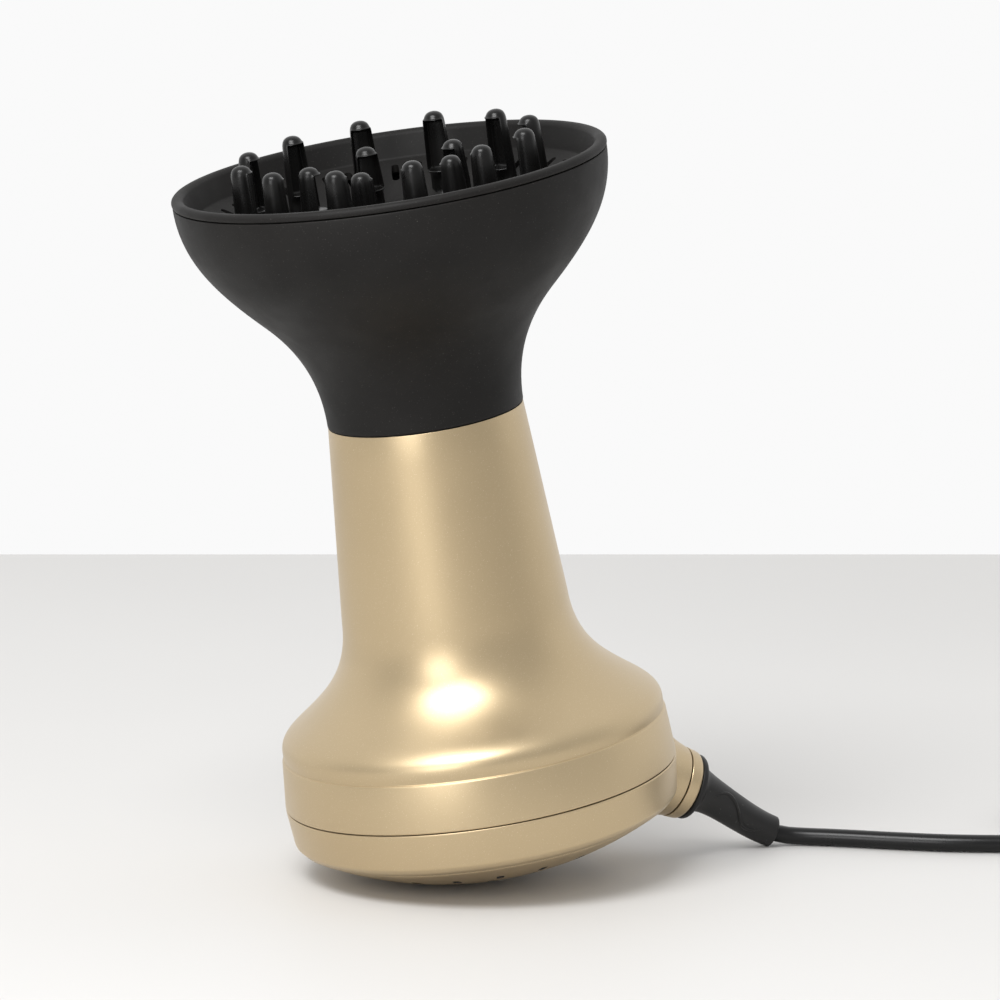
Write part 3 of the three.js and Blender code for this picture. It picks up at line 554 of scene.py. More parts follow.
def turn(name: str, outline: Sequence[Point], closed: bool = True, sides: int = 160) -> Obj:
    """Turns an outline round +Z, ring after ring, as on a lathe.

    Args:
        name: name of the new object.
        outline: (radius, height) points in millimetres; a radius of 0 is a pole at an open end.
        closed: whether the outline runs back to its first point.
        sides: facets round the piece.

    Returns:
        The new object, upright on the Z axis, in metres.
    """
    rings = [(r * MM, z * MM) for r, z in outline]
    start_pole = None if rings[0][0] > 1e-7 else rings.pop(0)
    clear_selection()
    bpy.ops.mesh.primitive_circle_add(vertices=sides, radius=rings[0][0], location=(0, 0, rings[0][1]))
    obj = bpy.context.object
    obj.name = name
    bake_transform()
    radius, height = rings[0]
    with editing(obj):
        for r, z in rings[1:] + ([rings[0]] if closed else []):
            bpy.ops.mesh.extrude_edges_move(TRANSFORM_OT_translate={"value": (0, 0, z - height)})
            if r < 1e-7:
                bpy.ops.mesh.merge(type="CENTER")
            elif abs(r - radius) > 1e-9:
                share = r / radius
                bpy.ops.transform.resize(value=(share, share, 1), center_override=(0, 0, z))
            radius, height = r, z
    if start_pole:
        for vertex in obj.data.vertices:
            vertex.select = vertex.index < sides
        bpy.ops.object.mode_set(mode="EDIT")
        bpy.ops.mesh.extrude_edges_move(
            TRANSFORM_OT_translate={"value": (0, 0, start_pole[1] - rings[0][1])}
        )
        bpy.ops.mesh.merge(type="CENTER")
        bpy.ops.object.mode_set(mode="OBJECT")
    tidy_mesh(obj)
    return obj


def block(name: str, size: Triple, centre: Triple, bevel: float, segments: int = 3) -> Obj:
    """Makes a box with rounded edges.

    Args:
        name: name of the new object.
        size: full sizes in millimetres.
        centre: middle of the box in millimetres.
        bevel: width of the rounding in millimetres.
        segments: chords in the rounding.

    Returns:
        The new object.
    """
    clear_selection()
    bpy.ops.mesh.primitive_cube_add(size=1.0, location=[c * MM for c in centre])
    obj = bpy.context.object
    obj.name = name
    obj.scale = [s * MM for s in size]
    bake_transform()
    with editing(obj):
        bpy.ops.mesh.bevel(offset=bevel * MM, segments=segments, affect="EDGES", clamp_overlap=True)
    return obj


def slot_cutter(inner: float, outer: float, width: float, angle: float, low: float, high: float
                ) -> Obj:
    """Makes a radial slot with round ends, to be cut out of a plate.

    Args:
        inner: radius at which the slot starts, in millimetres.
        outer: radius at which it ends.
        width: width of the slot.
        angle: direction of the slot, in degrees.
        low: bottom of the cut.
        high: top of the cut.

    Returns:
        The cutter.
    """
    clear_selection()
    middle = (inner + outer) / 2 * MM
    bpy.ops.mesh.primitive_cylinder_add(
        vertices=12, radius=width / 2 * MM, depth=(high - low) * MM,
        location=(middle, 0, (low + high) / 2 * MM),
    )
    obj = bpy.context.object
    bake_transform()
    stretch = (outer - inner - width) / 2 * MM
    for vertex in obj.data.vertices:
        vertex.co.x += math.copysign(stretch, vertex.co.x - middle) if abs(
            vertex.co.x - middle) > 1e-6 else 0.0
    bpy.context.view_layer.update()
    obj.data.transform(Matrix.Rotation(math.radians(angle), 4, "Z"))
    return obj


def merge(name: str, objects: Iterable[Obj]) -> Obj:
    """Joins several objects into the first and names it.

    Args:
        name: name of the piece.
        objects: its parts.

    Returns:
        The joined piece.
    """
    parts = list(objects)
    pick(*parts)
    if len(parts) > 1:
        bpy.ops.object.join()
    joined = bpy.context.object
    joined.name = name
    return joined


def carve(obj: Obj, cutter: Obj) -> None:
    """Cuts one object out of another and removes the cutter.

    Args:
        obj: the piece.
        cutter: what is taken away.
    """
    tidy_mesh(cutter)
    apply_modifier(
        obj, "cut", "BOOLEAN", operation="DIFFERENCE", solver="EXACT", use_self=False, object=cutter,
    )
    bpy.data.objects.remove(cutter, do_unlink=True)


def twin(obj: Obj, change: Matrix) -> Obj:
    """Copies an object with its own mesh and moves the mesh.

    Args:
        obj: what is copied.
        change: where the copy goes.

    Returns:
        The copy, with its own mesh.
    """
    made = obj.copy()
    made.data = obj.data.copy()
    bpy.context.scene.collection.objects.link(made)
    made.data.transform(change)
    return made


@dataclass
class Placement:
    """The leaning body axis, read from the joints of the frame."""

    pivot_height: float = 10.0 * MM
    matrix: Matrix = field(init=False)

    def __post_init__(self) -> None:
        """Finds the axis from the slide of the diffuser and the pivot of the intake cover."""
        joints = {joint["name"]: joint for joint in frame["joints"]}
        up = Vector(joints["diffuser_slide"]["axis"]).normalized()
        apex = Vector(joints["cover_twist"]["pos_m"]) - up * self.pivot_height
        across = Vector((0, 1, 0))
        along = across.cross(up)
        turned = Matrix((along, across, up)).transposed().to_4x4()
        self.matrix = Matrix.Translation(apex) @ turned

    def point(self, x: float, y: float, z: float) -> Vector:
        """Takes a point of the upright dryer, in millimetres, to its place."""
        return self.matrix @ Vector((x * MM, y * MM, z * MM))


@dataclass
class Assembly:
    """What every sub-assembly shares: where the body stands, and how pieces are handed over."""

    place: Placement

    def deliver(
        self, obj: Obj, finish: Finish, body: Body, nodes: Sequence[str],
        lean: bool = True, angle: float = 35.0,
    ) -> Obj:
        """Finishes a piece: place, shading, material, body and the nodes that it stands for.

        Args:
            obj: the finished mesh.
            finish: its finish.
            body: the body that it rides on.
            nodes: CAD nodes that it replaces.
            lean: whether it was made upright and still has to lean.
            angle: edges sharper than this stay sharp, in degrees.

        Returns:
            The same object.
        """
        pick(obj)
        if lean:
            obj.matrix_world = self.place.matrix
            bake_transform()
        bpy.ops.object.shade_smooth_by_angle(angle=math.radians(angle))
        obj.data.materials.clear()
        obj.data.materials.append(finish.material())
        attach(obj, body.value)
        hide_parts(*nodes)
        LOG.info("%s rides on %s: %d faces", obj.name, body.value, len(obj.data.polygons))
        return obj


# ------------------------------------------------------------------------------ diffuser
@dataclass
class Diffuser(Assembly):
    """The bowl that pushes onto the outlet, and the slotted tray with its comb of fingers.

    A ring of slots has a count, inner and outer radius, width and first angle; a ring of fingers has
    a count, radius, finger height and first angle.
    """

    seam: float = SEAM
    rim: float = RIM
    rim_radius: float = 80.0
    neck_radius: float = 36.2
    wall: float = 2.2
    lip: float = 3.0
    lip_width: float = 4.4
    tray_depth: float = 21.4
    tray_radius: float = 50.0
    dish_depth: float = 9.8
    dish_radius: float = 72.8
    plate: float = 2.2
    slot_rings: tuple[tuple[int, float, float, float, float], ...] = (
        (48, 60.7, 69.5, 3.0, 0.5), (12, 36.0, 46.7, 3.7, 34.0), (10, 9.0, 22.0, 3.2, 31.0),
    )
    finger_rings: tuple[tuple[int, float, float, float], ...] = (
        (12, 53.7, 31.0, 19.0), (5, 29.0, 25.1, 13.0),
    )

    @property
    def plate_top(self) -> float:
        """Height of the comb plate."""
        return self.rim - self.tray_depth

    def bowl(self) -> Obj:
        """Builds the outer bowl, a flared shell with a rolled lower edge.

        Returns:
            The finished piece.
        """
        low = (self.neck_radius, self.seam + 0.15)
        mid = (54.0, self.seam + 42.0)
        top = (self.rim_radius - 0.2, self.rim - self.lip - 0.3)
        outer = [low]
        outer += cubic(low, (36.2, 193.5), (44.0, 206.4), mid, 20)
        outer += cubic(mid, (70.0, 232.4), (79.7, 244.9), top, 22)
        inner = offset(outer, self.wall)
        inner[0] = (inner[0][0], outer[0][1])
        inner[-1] = (inner[-1][0], outer[-1][1])
        obj = turn("diffuser_bowl_shell", softened([*outer, *reversed(inner)], 0.5), sides=176)
        return self.deliver(obj, SOFT_BLACK, Body.DIFFUSER, ["diffuser_bowl"])

    def tray(self) -> Obj:
        """Builds the tray: lip, sloping wall and slotted plate.

        Returns:
            The finished piece.
        """
        under = self.plate_top - self.plate
        base = self.rim - self.lip
        dish = self.rim - self.dish_depth
        seat = self.rim_radius - self.wall - 1
        outline = [
            (0, under), (self.tray_radius + 1.0, under), (self.dish_radius + 0.2, dish - self.plate - 0.6),
            (seat, base), (self.rim_radius - 0.5, base),
            (self.rim_radius, base + 0.5), (self.rim_radius, self.rim - 1.1),
            (self.rim_radius - 1.1, self.rim), (self.rim_radius - self.lip_width + 1.3, self.rim),
            (self.rim_radius - self.lip_width, self.rim - 1.1), (self.dish_radius, dish),
            (self.tray_radius, self.plate_top), (0, self.plate_top),
        ]
        obj = turn("tray", softened(outline, 0.7, closed=False), closed=False, sides=176)
        low, high = under - 3, dish + 3
        cutters = []
        for count, inner, outer, width, phase in self.slot_rings:
            cutters += [
                slot_cutter(inner, outer, width, phase + 360 * k / count, low, high) for k in range(count)
            ]
        carve(obj, merge("slots", cutters))
        return obj

    def finger(self, height: float) -> Obj:
        """Models one comb finger on the Z axis, its channel towards -X.

        Args:
            height: height above the plate in millimetres.

        Returns:
            The finger, standing on the plate's height.
        """
        tip = 3.75
        mouth = 8.5
        rows = [(5.3, -1.0), (5.1, 0.5), (4.9, 2.2), (4.8, 4.4), (4.75, 6.6), (4.7, mouth), (4.7, 10.4)]
        steps = 4
        for k in range(1, steps + 1):
            rows.append((4.7 - 0.75 * k / steps, 10.4 + (height - tip - 10.4) * k / steps))
        rows += [(3.75, height - 2.6), (3.2, height - 1.2), (1.8, height - 0.3), (0, height)]
        obj = turn("finger", [(0, -1.0), *rows], closed=False, sides=20)
        for vertex in obj.data.vertices:
            if vertex.co.x < -0.1 * MM and 0 <= vertex.co.z < (mouth - 1.0) * MM:
                vertex.co.x *= 0.5
                vertex.co.y *= 0.8
        self._open_channel(obj, mouth * MM, (height - 1.9) * MM)
        apply_modifier(obj, "round", "SUBSURF", levels=2, render_levels=2)
        return obj

    def _open_channel(self, obj: Obj, low: float, high: float) -> None:
        """Sinks a channel with a raised rim into the -X side of a finger.

        Args:
            obj: the finger.
            low: lower end of the channel, in metres.
            high: upper end of the channel, in metres.
        """
        pick(obj)
        bpy.ops.object.mode_set(mode="EDIT")
        bpy.ops.mesh.select_mode(type="FACE")
        bpy.ops.mesh.select_all(action="DESELECT")
        shape = bmesh.from_edit_mesh(obj.data)
        for face in shape.faces:
            centre = face.calc_center_median()
            face.select_set(face.normal.x < -0.35 and low < centre.z < high and abs(face.normal.z) < 0.9)
        bmesh.update_edit_mesh(obj.data)
        bpy.ops.mesh.inset(thickness=0.2 * MM, depth=0.45 * MM)
        bpy.ops.mesh.inset(thickness=0.6 * MM, depth=0)
        bpy.ops.mesh.inset(thickness=0.2 * MM, depth=-0.5 * MM)
        bpy.ops.transform.translate(value=(3.0 * MM, 0, 0))
        bpy.ops.transform.resize(value=(0.35, 0.9, 1.0))
        bpy.ops.mesh.select_mode(type="VERT")
        bpy.ops.object.mode_set(mode="OBJECT")

    def comb(self) -> Obj:
        """Joins the tray and the two rings of fingers.

        Returns:
            The finished piece.
        """
        parts = [self.tray()]
        for count, radius, height, phase in self.finger_rings:
            pattern = self.finger(height)
            for k in range(count):
                move = Matrix.Rotation(math.radians(phase + 360 * k / count), 4, "Z")
                move = move @ Matrix.Translation((radius * MM, 0, self.plate_top * MM))
                parts.append(twin(pattern, move))
            bpy.data.objects.remove(pattern, do_unlink=True)
        tray_faces = len(parts[0].data.polygons)
        obj = self.deliver(merge("comb_tray", parts), SOFT_BLACK, Body.DIFFUSER, ["comb_insert"])
        obj.data.materials.append(COMB_BLACK.material("_comb"))
        for face in obj.data.polygons:
            face.material_index = 1 if face.index >= tray_faces else 0
        return obj

    def build(self) -> None:
        """Builds both pieces of the diffuser."""
        self.bowl()
        self.comb()


# ------------------------------------------------------------------------------ housing
@dataclass
class Housing(Assembly):
    """The two painted housings, the cord collar and the domed intake cover."""

    dome: float = 136.0
    crease_radius: float = CREASE_RADIUS
    band_radius: float = BAND_RADIUS
    crease: float = CREASE
    parting: float = PARTING
    shoulder: float = SHOULDER
    seam: float = SEAM
    wall: float = 2.4
    cover_radius: float = 66.4
    floor_radius: float = 60.0
    floor_thickness: float = 2.2
    screw_circle: float = 62.6
    screw_angles: tuple[float, ...] = (130.0, 195.0, 260.0, 325.0)
    intake_slots: tuple[tuple[int, float, float], ...] = ((10, 13.0, 26.0), (16, 31.0, 43.0),
                                                          (20, 48.0, 54.0))
    intake_slot_width: float = 3.0
    tab_angles: tuple[float, ...] = (30.0, 150.0, 270.0)
    tab_width: float = 12.5
    hook: float = 1.6

    def dome_height(self, radius: float, inset: float = 0.0) -> float:
        """Height of the dome at a radius."""
        return self.dome - math.sqrt((self.dome - inset) ** 2 - radius ** 2)

    def dome_arc(self, start: float, end: float, steps: int, inset: float = 0.0) -> list[Point]:
        """Samples the dome between two radii."""
        radii = [start + (end - start) * k / steps for k in range(steps + 1)]
        return [(r, self.dome_height(r, inset)) for r in radii]

    def front(self) -> Obj:
        """Builds the front housing: neck, flared shoulder and upper band, with its switch seat.

        Returns:
            The finished piece.
        """
        start = (self.band_radius - 0.25, self.parting + 0.15)
        ledge = [(71.62, self.shoulder - 0.7), (71.45, self.shoulder - 0.2), (71.1, self.shoulder + 0.05),
                 (70.75, self.shoulder + 0.2)]
        knee = (64.8, self.shoulder + 12.0)
        neck = (42.0, self.shoulder + 48.5)
        outer = [start, (self.band_radius, self.parting + 0.5), *ledge]
        outer += cubic(ledge[-1], (71.6, self.shoulder + 5.8), (70.6, self.shoulder + 7.6), knee, 14)
        outer += cubic(knee, (52.0, self.shoulder + 21.7), (42.6, self.shoulder + 29.3), neck, 24)
        outer += [(42.0 - 5.9 * k / 6, neck[1] + (self.seam - 0.15 - neck[1]) * k / 6) for k in range(1, 7)]
        inner = offset(outer, self.wall)
        inner[0] = (inner[0][0], outer[0][1])
        inner[-1] = (inner[-1][0], outer[-1][1])
        shell = turn("front", softened([*outer, *reversed(inner)], 0.3), sides=176)
        carve(shell, block("seat", (29.6, 12.0, 12.0), (0, SWITCH_SEAT + 6.0, SWITCH_HEIGHT), 2.2))
        width, height = SWITCH_OPENING
        carve(shell, block("window", (width, 26.0, height), (0, 70.0, SWITCH_HEIGHT), 0.8))
        tongue = turn("tongue", softened([
            (68.6, self.parting - 4), (70.1, self.parting - 4), (70.1, self.parting + 3),
            (68.6, self.parting + 3)], 0.3), sides=96)
        posts = [self._post(angle, self.parting + 3.2, self.shoulder - 3) for angle in self.screw_angles]
        obj = merge("front_shell", [shell, tongue, *posts])
        self.deliver(obj, CHAMPAGNE_PAINT, Body.HOUSING, ["front_housing"])
        return self.bare_inner_faces_and_painted_slot_shade(obj)

    def _post(self, angle: float, low: float, high: float) -> Obj:
        """Builds one hollow screw post.

        Args:
            angle: its direction from the axis, in degrees.
            low: its lower end.
            high: its upper end.

        Returns:
            The post.
        """
        post = turn("post", softened([(1.6, low), (3.4, low), (3.1, high), (1.6, high)], 0.3), sides=24)
        rib = block("rib", (5.0, 1.8, (high - low) * 0.8), (4.6, 0, (low + high) / 2), 0.3, 2)
        joined = merge("post", [post, rib])
        move = Matrix.Rotation(math.radians(angle), 4, "Z") @ Matrix.Translation(
            (self.screw_circle * MM, 0, 0))
        joined.data.transform(move)
        return joined

    def exit_matrix(self) -> Matrix:
        """Returns the turn that takes +Z out along the cord exit."""
        move = Matrix.Translation((COLLAR_REACH * MM, 0, COLLAR_HEIGHT * MM))
        return move @ Matrix.Rotation(math.pi / 2 + math.radians(COLLAR_TILT), 4, "Y")

    def rear(self) -> Obj:
        """Builds the rear housing: lower band, floor ring and the swell that leads to the collar.

        Returns:
            The finished piece.
        """
        edge = self.cover_radius + 0.45
        floor = self.crease + GAP
        above = floor + self.floor_thickness
        inside = self.band_radius - self.wall
        outline = [(self.floor_radius, floor), (edge, floor)]
        outline += self.dome_arc(edge, self.crease_radius - 1.9, 5)
        outline += [(self.crease_radius + r, self.crease + z) for r, z in (
            (-0.75, 0.15), (-0.15, 0.8), (0.1, 2.0))]
        outline += [(self.band_radius, self.parting - 0.5), (self.band_radius - 0.25, self.parting - 0.15),
                    (inside, self.parting - 0.15), (inside - 0.4, above), (self.floor_radius, above)]
        shell = turn("rear", softened(outline, 0.5), sides=176)
        posts = [self._post(angle, floor + 0.6, self.parting + 0.6) for angle in self.screw_angles]
        obj = merge("rear_shell", [shell, self.swell(shell), *posts])
        return self.deliver(obj, CHAMPAGNE_PAINT, Body.HOUSING, ["rear_housing"], angle=50.0)

    def swell(self, wall: Obj) -> Obj:
        """Builds the trumpet between band and collar, drawn onto the band at its wide end.

        Args:
            wall: the band that the trumpet runs into.

        Returns:
            The trumpet.
        """
        rows = [(7.0, -5.1), (13.45, -5.1), (13.6, -5.3), (13.9, -7.0), (14.4, -9.5), (15.1, -12.0),
                (16.1, -14.5), (17.5, -17.0), (19.4, -19.4), (21.8, -21.6), (24.6, -23.4), (27.8, -24.8),
                (31.0, -25.8)]
        obj = turn("swell", rows, closed=False, sides=96)
        group = obj.vertex_groups.new(name="drawn")
        for vertex in obj.data.vertices:
            radius = math.hypot(vertex.co.x, vertex.co.y) / MM
            share = min(max((radius - 14.2) / 10.0, 0.0), 1.0)
            group.add([vertex.index], share * share * (3 - 2 * share), "REPLACE")
        obj.data.transform(self.exit_matrix())
        apply_modifier(
            obj, "draw", "SHRINKWRAP", target=wall, wrap_method="NEAREST_SURFACEPOINT",
            wrap_mode="OUTSIDE", offset=0.04 * MM, vertex_group="drawn",
        )
        apply_modifier(obj, "even", "SMOOTH", factor=0.5, iterations=4)
        hidden = (self.crease_radius - 1.0) * MM
        for vertex in obj.data.vertices:
            across = math.hypot(vertex.co.x, vertex.co.y)
            if vertex.co.z > (self.parting - 0.2) * MM and across > hidden:
                vertex.co.x *= hidden / across
                vertex.co.y *= hidden / across
        return obj

    def collar(self) -> Obj:
        """Builds the collar that closes the cord exit.

        Returns:
            The finished piece.
        """
        outline = [(7.2, -5.0), (13.45, -5.0), (13.6, -4.8), (13.3, -1.6), (13.1, -0.7), (12.6, -0.15),
                   (11.9, 0.0), (7.2, 0.0)]
        obj = turn("collar_ring", outline, sides=72)
        obj.data.transform(self.exit_matrix())
        return self.deliver(obj, CHAMPAGNE_PAINT, Body.HOUSING, ["cord_collar"])

    def cover(self) -> Obj:
        """Builds the intake cover with three rings of slots and its bayonet tabs.

        Returns:
            The finished piece.
        """
        outer = self.dome_arc(0.0, self.cover_radius, 22)
        inner = self.dome_arc(0.0, self.cover_radius, 22, self.wall)
        obj = turn("cover", softened([*outer, *reversed(inner)], 0.4, closed=False), closed=False)
        cutters = []
        for count, start, end in self.intake_slots:
            cutters += [
                slot_cutter(start, end, self.intake_slot_width, 360 * k / count, -20, 40)
                for k in range(count)
            ]
        carve(obj, merge("slots", cutters))
        tab_top = self.crease + GAP + self.floor_thickness + GAP + self.hook
        tabs = []
        for angle in self.tab_angles:
            root = self.dome_height(self.floor_radius, self.wall) - 1.0
            middle = (tab_top + root) / 2
            stem = block("stem", (3.0, self.tab_width, tab_top - root), (57.4, 0, middle), 0.5, 2)
            hook = block("hook", (5.4, self.tab_width, self.hook), (58.6, 0, tab_top - self.hook / 2), 0.4, 2)
            tab = merge("tab", [stem, hook])
            tab.data.transform(Matrix.Rotation(math.radians(angle), 4, "Z"))
            tabs.append(tab)
        joined = self.deliver(merge("intake_dome", [obj, *tabs]), CHAMPAGNE_PAINT, Body.INTAKE,
                              ["intake_cover"])
        # A facing of 0.8 gives the slot walls the dark colour as painted shade, so the slots read dark.
        return self.bare_inner_faces_and_painted_slot_shade(joined, 0.8)

    def bare_inner_faces_and_painted_slot_shade(self, obj: Obj, facing: float = 0.25) -> Obj:
        """Gives the dark colour to every face that does not look squarely outwards: bare moulding inside the
        shells, and painted shade on the slot walls of the intake cover.

        Args:
            obj: a painted shell in its place.
            facing: how squarely a face has to look outwards to keep the gold paint; set high on the cover so that
                its slot walls get the painted shade.

        Returns:
            The same object.
        """
        obj.data.materials.append(BARE_MOULDING_AND_SLOT_SHADE.material("_bare_and_slot_shade"))
        centre = self.place.point(0, 0, self.dome)
        up = (self.place.matrix.to_3x3() @ Vector((0, 0, 1))).normalized()
        for face in obj.data.polygons:
            out = face.center - centre
            if (face.center - self.place.point(0, 0, self.crease)).dot(up) > 0:
                out = out - up * out.dot(up)
            # Faces that fail this test get the dark colour: bare moulding inside the shells, and painted shade on
            # the slot walls of the intake cover.
            painted = face.normal.dot(out.normalized()) > facing
            face.material_index = 0 if painted else 1
        return obj

    def build(self) -> None:
        """Builds every painted piece."""
        self.front()
        self.rear()
        self.collar()
        self.cover()


# ------------------------------------------------------------------------------ switch
@dataclass
class PowerSwitch(Assembly):
    """The slide switch in the side of the band: bezel and ribbed slide."""

    height: float = SWITCH_HEIGHT
    seat: float = SWITCH_SEAT

    def bezel(self) -> Obj:
        """Builds the frame round the slide.

        Returns:
            The finished piece.
        """
        obj = block("bezel_frame", (29.0, 1.4, 11.4), (0, self.seat + 1.0, self.height), 0.6)
        width, height = SWITCH_OPENING
        carve(obj, block("opening", (width, 8.0, height), (0, self.seat, self.height), 0.9))
        for x in (-12.0, 12.0):
            carve(obj, block("dot", (1.6, 0.6, 1.6), (x, self.seat + 1.9, self.height), 0.2))
        return self.deliver(obj, SOFT_BLACK, Body.HOUSING, ["switch_bezel"])

    def slider(self) -> Obj:
        """Builds the slide with three grip ribs.

        Returns:
            The finished piece.
        """
        parts = [
            block("stem", (6.4, 7.0, 3.4), (0, self.seat - 1.6, self.height), 0.3),
            block("cap", (9.4, 2.6, 4.4), (0, self.seat + 2.9, self.height), 0.6),
        ]
        parts += [
            block("rib", (1.0, 1.2, 4.2), (x, self.seat + 4.4, self.height), 0.35) for x in (-3.0, 0.0, 3.0)
        ]
        return self.deliver(merge("slide_button", parts), GLOSS_BLACK, Body.SWITCH, ["switch_slider"])

    def build(self) -> None:
        """Builds both pieces of the switch."""
        self.bezel()
        self.slider()


# ------------------------------------------------------------------------------ mains lead
def smooth_path(points: Sequence[Vector], step: float) -> list[Vector]:
    """Runs a smooth curve through points.

    Args:
        points: the points to pass, in order.
        step: wanted distance between the points of the result.

    Returns:
        Closely spaced points of the curve.
    """
    made = [points[0]]
    for i in range(len(points) - 1):
        a, b = points[i], points[i + 1]
        before = points[i - 1] if i else a * 2 - b
        after = points[i + 2] if i + 2 < len(points) else b * 2 - a
        count = max(1, round((b - a).length / step))
        for k in range(1, count + 1):
            t = k / count
            made.append(0.5 * (
                2 * a + (b - before) * t + (2 * before - 5 * a + 4 * b - after) * t * t
                + (3 * a - before - 3 * b + after) * t ** 3
            ))
    return made


def ease(t: float) -> float:
    """Smooth step from 0 to 1."""
    t = min(max(t, 0.0), 1.0)
    return t * t * (3 - 2 * t)


@dataclass
class MainsLead(Assembly):
    """Boot, cord with its coil, and plug."""

    radius: float = 3.3
    lay: float = 3.4
    length: float = 2.07
    coil_x: float = 284.0
    coil_y: float = -14.0
    coil_rings: tuple[float, ...] = (46.2, 39.6, 33.0, 26.4)
    shift: float = 40.0
    route: tuple[Triple, ...] = (
        (133.2, 4.04, 5.74), (136.0, 3.6, 4.65), (139.6, 2.8, 3.85), (145.6, 0.1, 3.45), (153, -4.4, 3.4),
        (161, -10, 3.4), (169, -16, 3.4), (176, -21.1, 3.4), (184, -26.6, 3.4), (191, -31, 3.4),
        (199, -35.2, 3.4), (207, -38.8, 3.4), (218, -43.6, 3.4), (230, -48.8, 3.4),
        (242, -54, 3.4), (254, -59.3, 3.4), (264, -63.5, 3.4), (269.3, -65.5, 3.4),
        (274.8, -66.9, 3.4),
    )
    tail: tuple[Triple, ...] = ((337.9, -11, 3.4), (338.7, -3, 3.4), (340, 5, 3.4), (341.8, 13, 4.8))

    def _coil(self) -> list[Triple]:
        """Winds two layers, inwards below and outwards above, and returns their points.

        Returns:
            The points of its middle line.
        """
        made: list[Triple] = []

        def add(angle: float, radius: float, height: float) -> None:
            """Adds one point of the winding."""
            a = math.radians(angle)
            made.append((self.coil_x + radius * math.cos(a), self.coil_y + radius * math.sin(a), height))

        start = -40.0
        for k in range(1, 5):
            t = k / 5
            add(-99.9 + 59.9 * t, 53.7 - 7.5 * ease(t), self.lay)
        rise = 2 * self.radius
        for layer, rings in enumerate((self.coil_rings, self.coil_rings[::-1])):
            level = self.lay + rise * layer
            for n, ring in enumerate(rings):
                last = n == len(rings) - 1
                following = ring if last else rings[n + 1]
                for k in range(30):
                    angle = 12.0 * k
                    if last and layer and angle > 352:
                        break
                    t = ease((angle - (360 - self.shift)) / self.shift)
                    climb = rise * t if last and not layer else 0.0
                    add(start + angle, ring + (following - ring) * t, level + climb)
        for k in range(1, 5):
            t = k / 5
            add(-46 + 49 * t, 46.2 + 7.6 * ease(t * 1.35), self.lay + rise * (1 - ease(t * 1.15 - 0.15)))
        return made

    def cord(self) -> Obj:
        """Lays the cord: out of the boot, along the table, round the coil and to the plug.

        Returns:
            The finished piece.
        """
        stops = [Vector(p) * MM for p in (*self.route, *self._coil(), *self.tail)]
        path = smooth_path(stops, 3.0 * MM)
        curve = bpy.data.curves.new("cord_run", "CURVE")
        curve.dimensions = "3D"
        spline = curve.splines.new("POLY")
        spline.points.add(len(path) - 1)
        for point, place in zip(spline.points, path):
            point.co = (*place, 1.0)
        curve.bevel_depth = self.radius * MM
        curve.bevel_resolution = 4
        curve.use_fill_caps = True
        obj = bpy.data.objects.new("cord_run", curve)
        bpy.context.scene.collection.objects.link(obj)
        curve.materials.append(CORD_SHEATH.material())
        spline.use_smooth = True
        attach(obj, Body.HOUSING.value)
        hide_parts("mains_cord", "cord_coil", "cord_tail")
        run = sum((b - a).length for a, b in zip(path, path[1:]))
        LOG.info("cord is %.3f m long", run)
        return obj

    def boot_path(self, t: float) -> tuple[Vector, Vector]:
        """Returns place and direction on the boot's curved axis, t from 0 to 1.

        Args:
            t: place along the boot, 0 to 1.

        Returns:
            The point there.
        """
        tilt = math.radians(COLLAR_TILT)
        face = self.place.point(COLLAR_REACH, 0, COLLAR_HEIGHT)
        out = (self.place.matrix.to_3x3() @ Vector((math.cos(tilt), 0, -math.sin(tilt)))).normalized()
        end = Vector((134.3, 3.9, 5.3)) * MM
        heading = Vector((0.92, -0.12, -0.37)).normalized()
        a, b = face + out * 1.6 * MM, face + out * 14 * MM
        c, d = end - heading * 13 * MM, end
        s = 1 - t
        place = a * s ** 3 + b * 3 * s * s * t + c * 3 * s * t * t + d * t ** 3
        along = ((b - a) * s * s + (c - b) * 2 * s * t + (d - c) * t * t).normalized()
        return place, along

    def boot_radius(self, t: float) -> float:
        """Radius of the boot along its axis, in millimetres."""
        return 5.9 + 3.6 * math.exp(-t * 7.5) + 1.1 * (1 - t)

    def boot(self) -> Obj:
        """Builds the boot: a flange with a soft shoulder, a tapered bent sleeve and a moulded ridge.

        Returns:
            The finished piece.
        """
        rows: list[tuple[Vector, Vector, float]] = []
        face, out = self.boot_path(0.0)
        face = face - out * 1.6 * MM
        for depth, radius in ((-9.0, 6.2), (-1.0, 6.2), (0.3, 6.4), (0.3, 12.1), (0.55, 12.5),
                              (1.0, 12.6), (2.0, 12.55), (2.6, 12.2), (2.9, 11.4)):
            rows.append((face + out * depth * MM, out, radius))
        count = 34
        for k in range(1, count + 1):
            t = 0.04 + 0.94 * k / count
            place, along = self.boot_path(t)
            rows.append((place, along, self.boot_radius(t)))
        place, along = self.boot_path(1.0)
        for back, radius in ((0.35, 5.75), (0.1, 5.35), (0.0, 4.8), (0.0, 3.4), (-0.0, 3.34)):
            rows.append((place - along * back * MM, along, radius))
        rows.append((place - along * 3 * MM, along, 3.32))
        obj = self._sleeve("boot", rows, 40)
        ridge = self._ridge()
        return self.deliver(merge("boot_sleeve", [obj, ridge]), BOOT_RUBBER, Body.HOUSING,
                            ["cord_boot"], lean=False, angle=50.0)

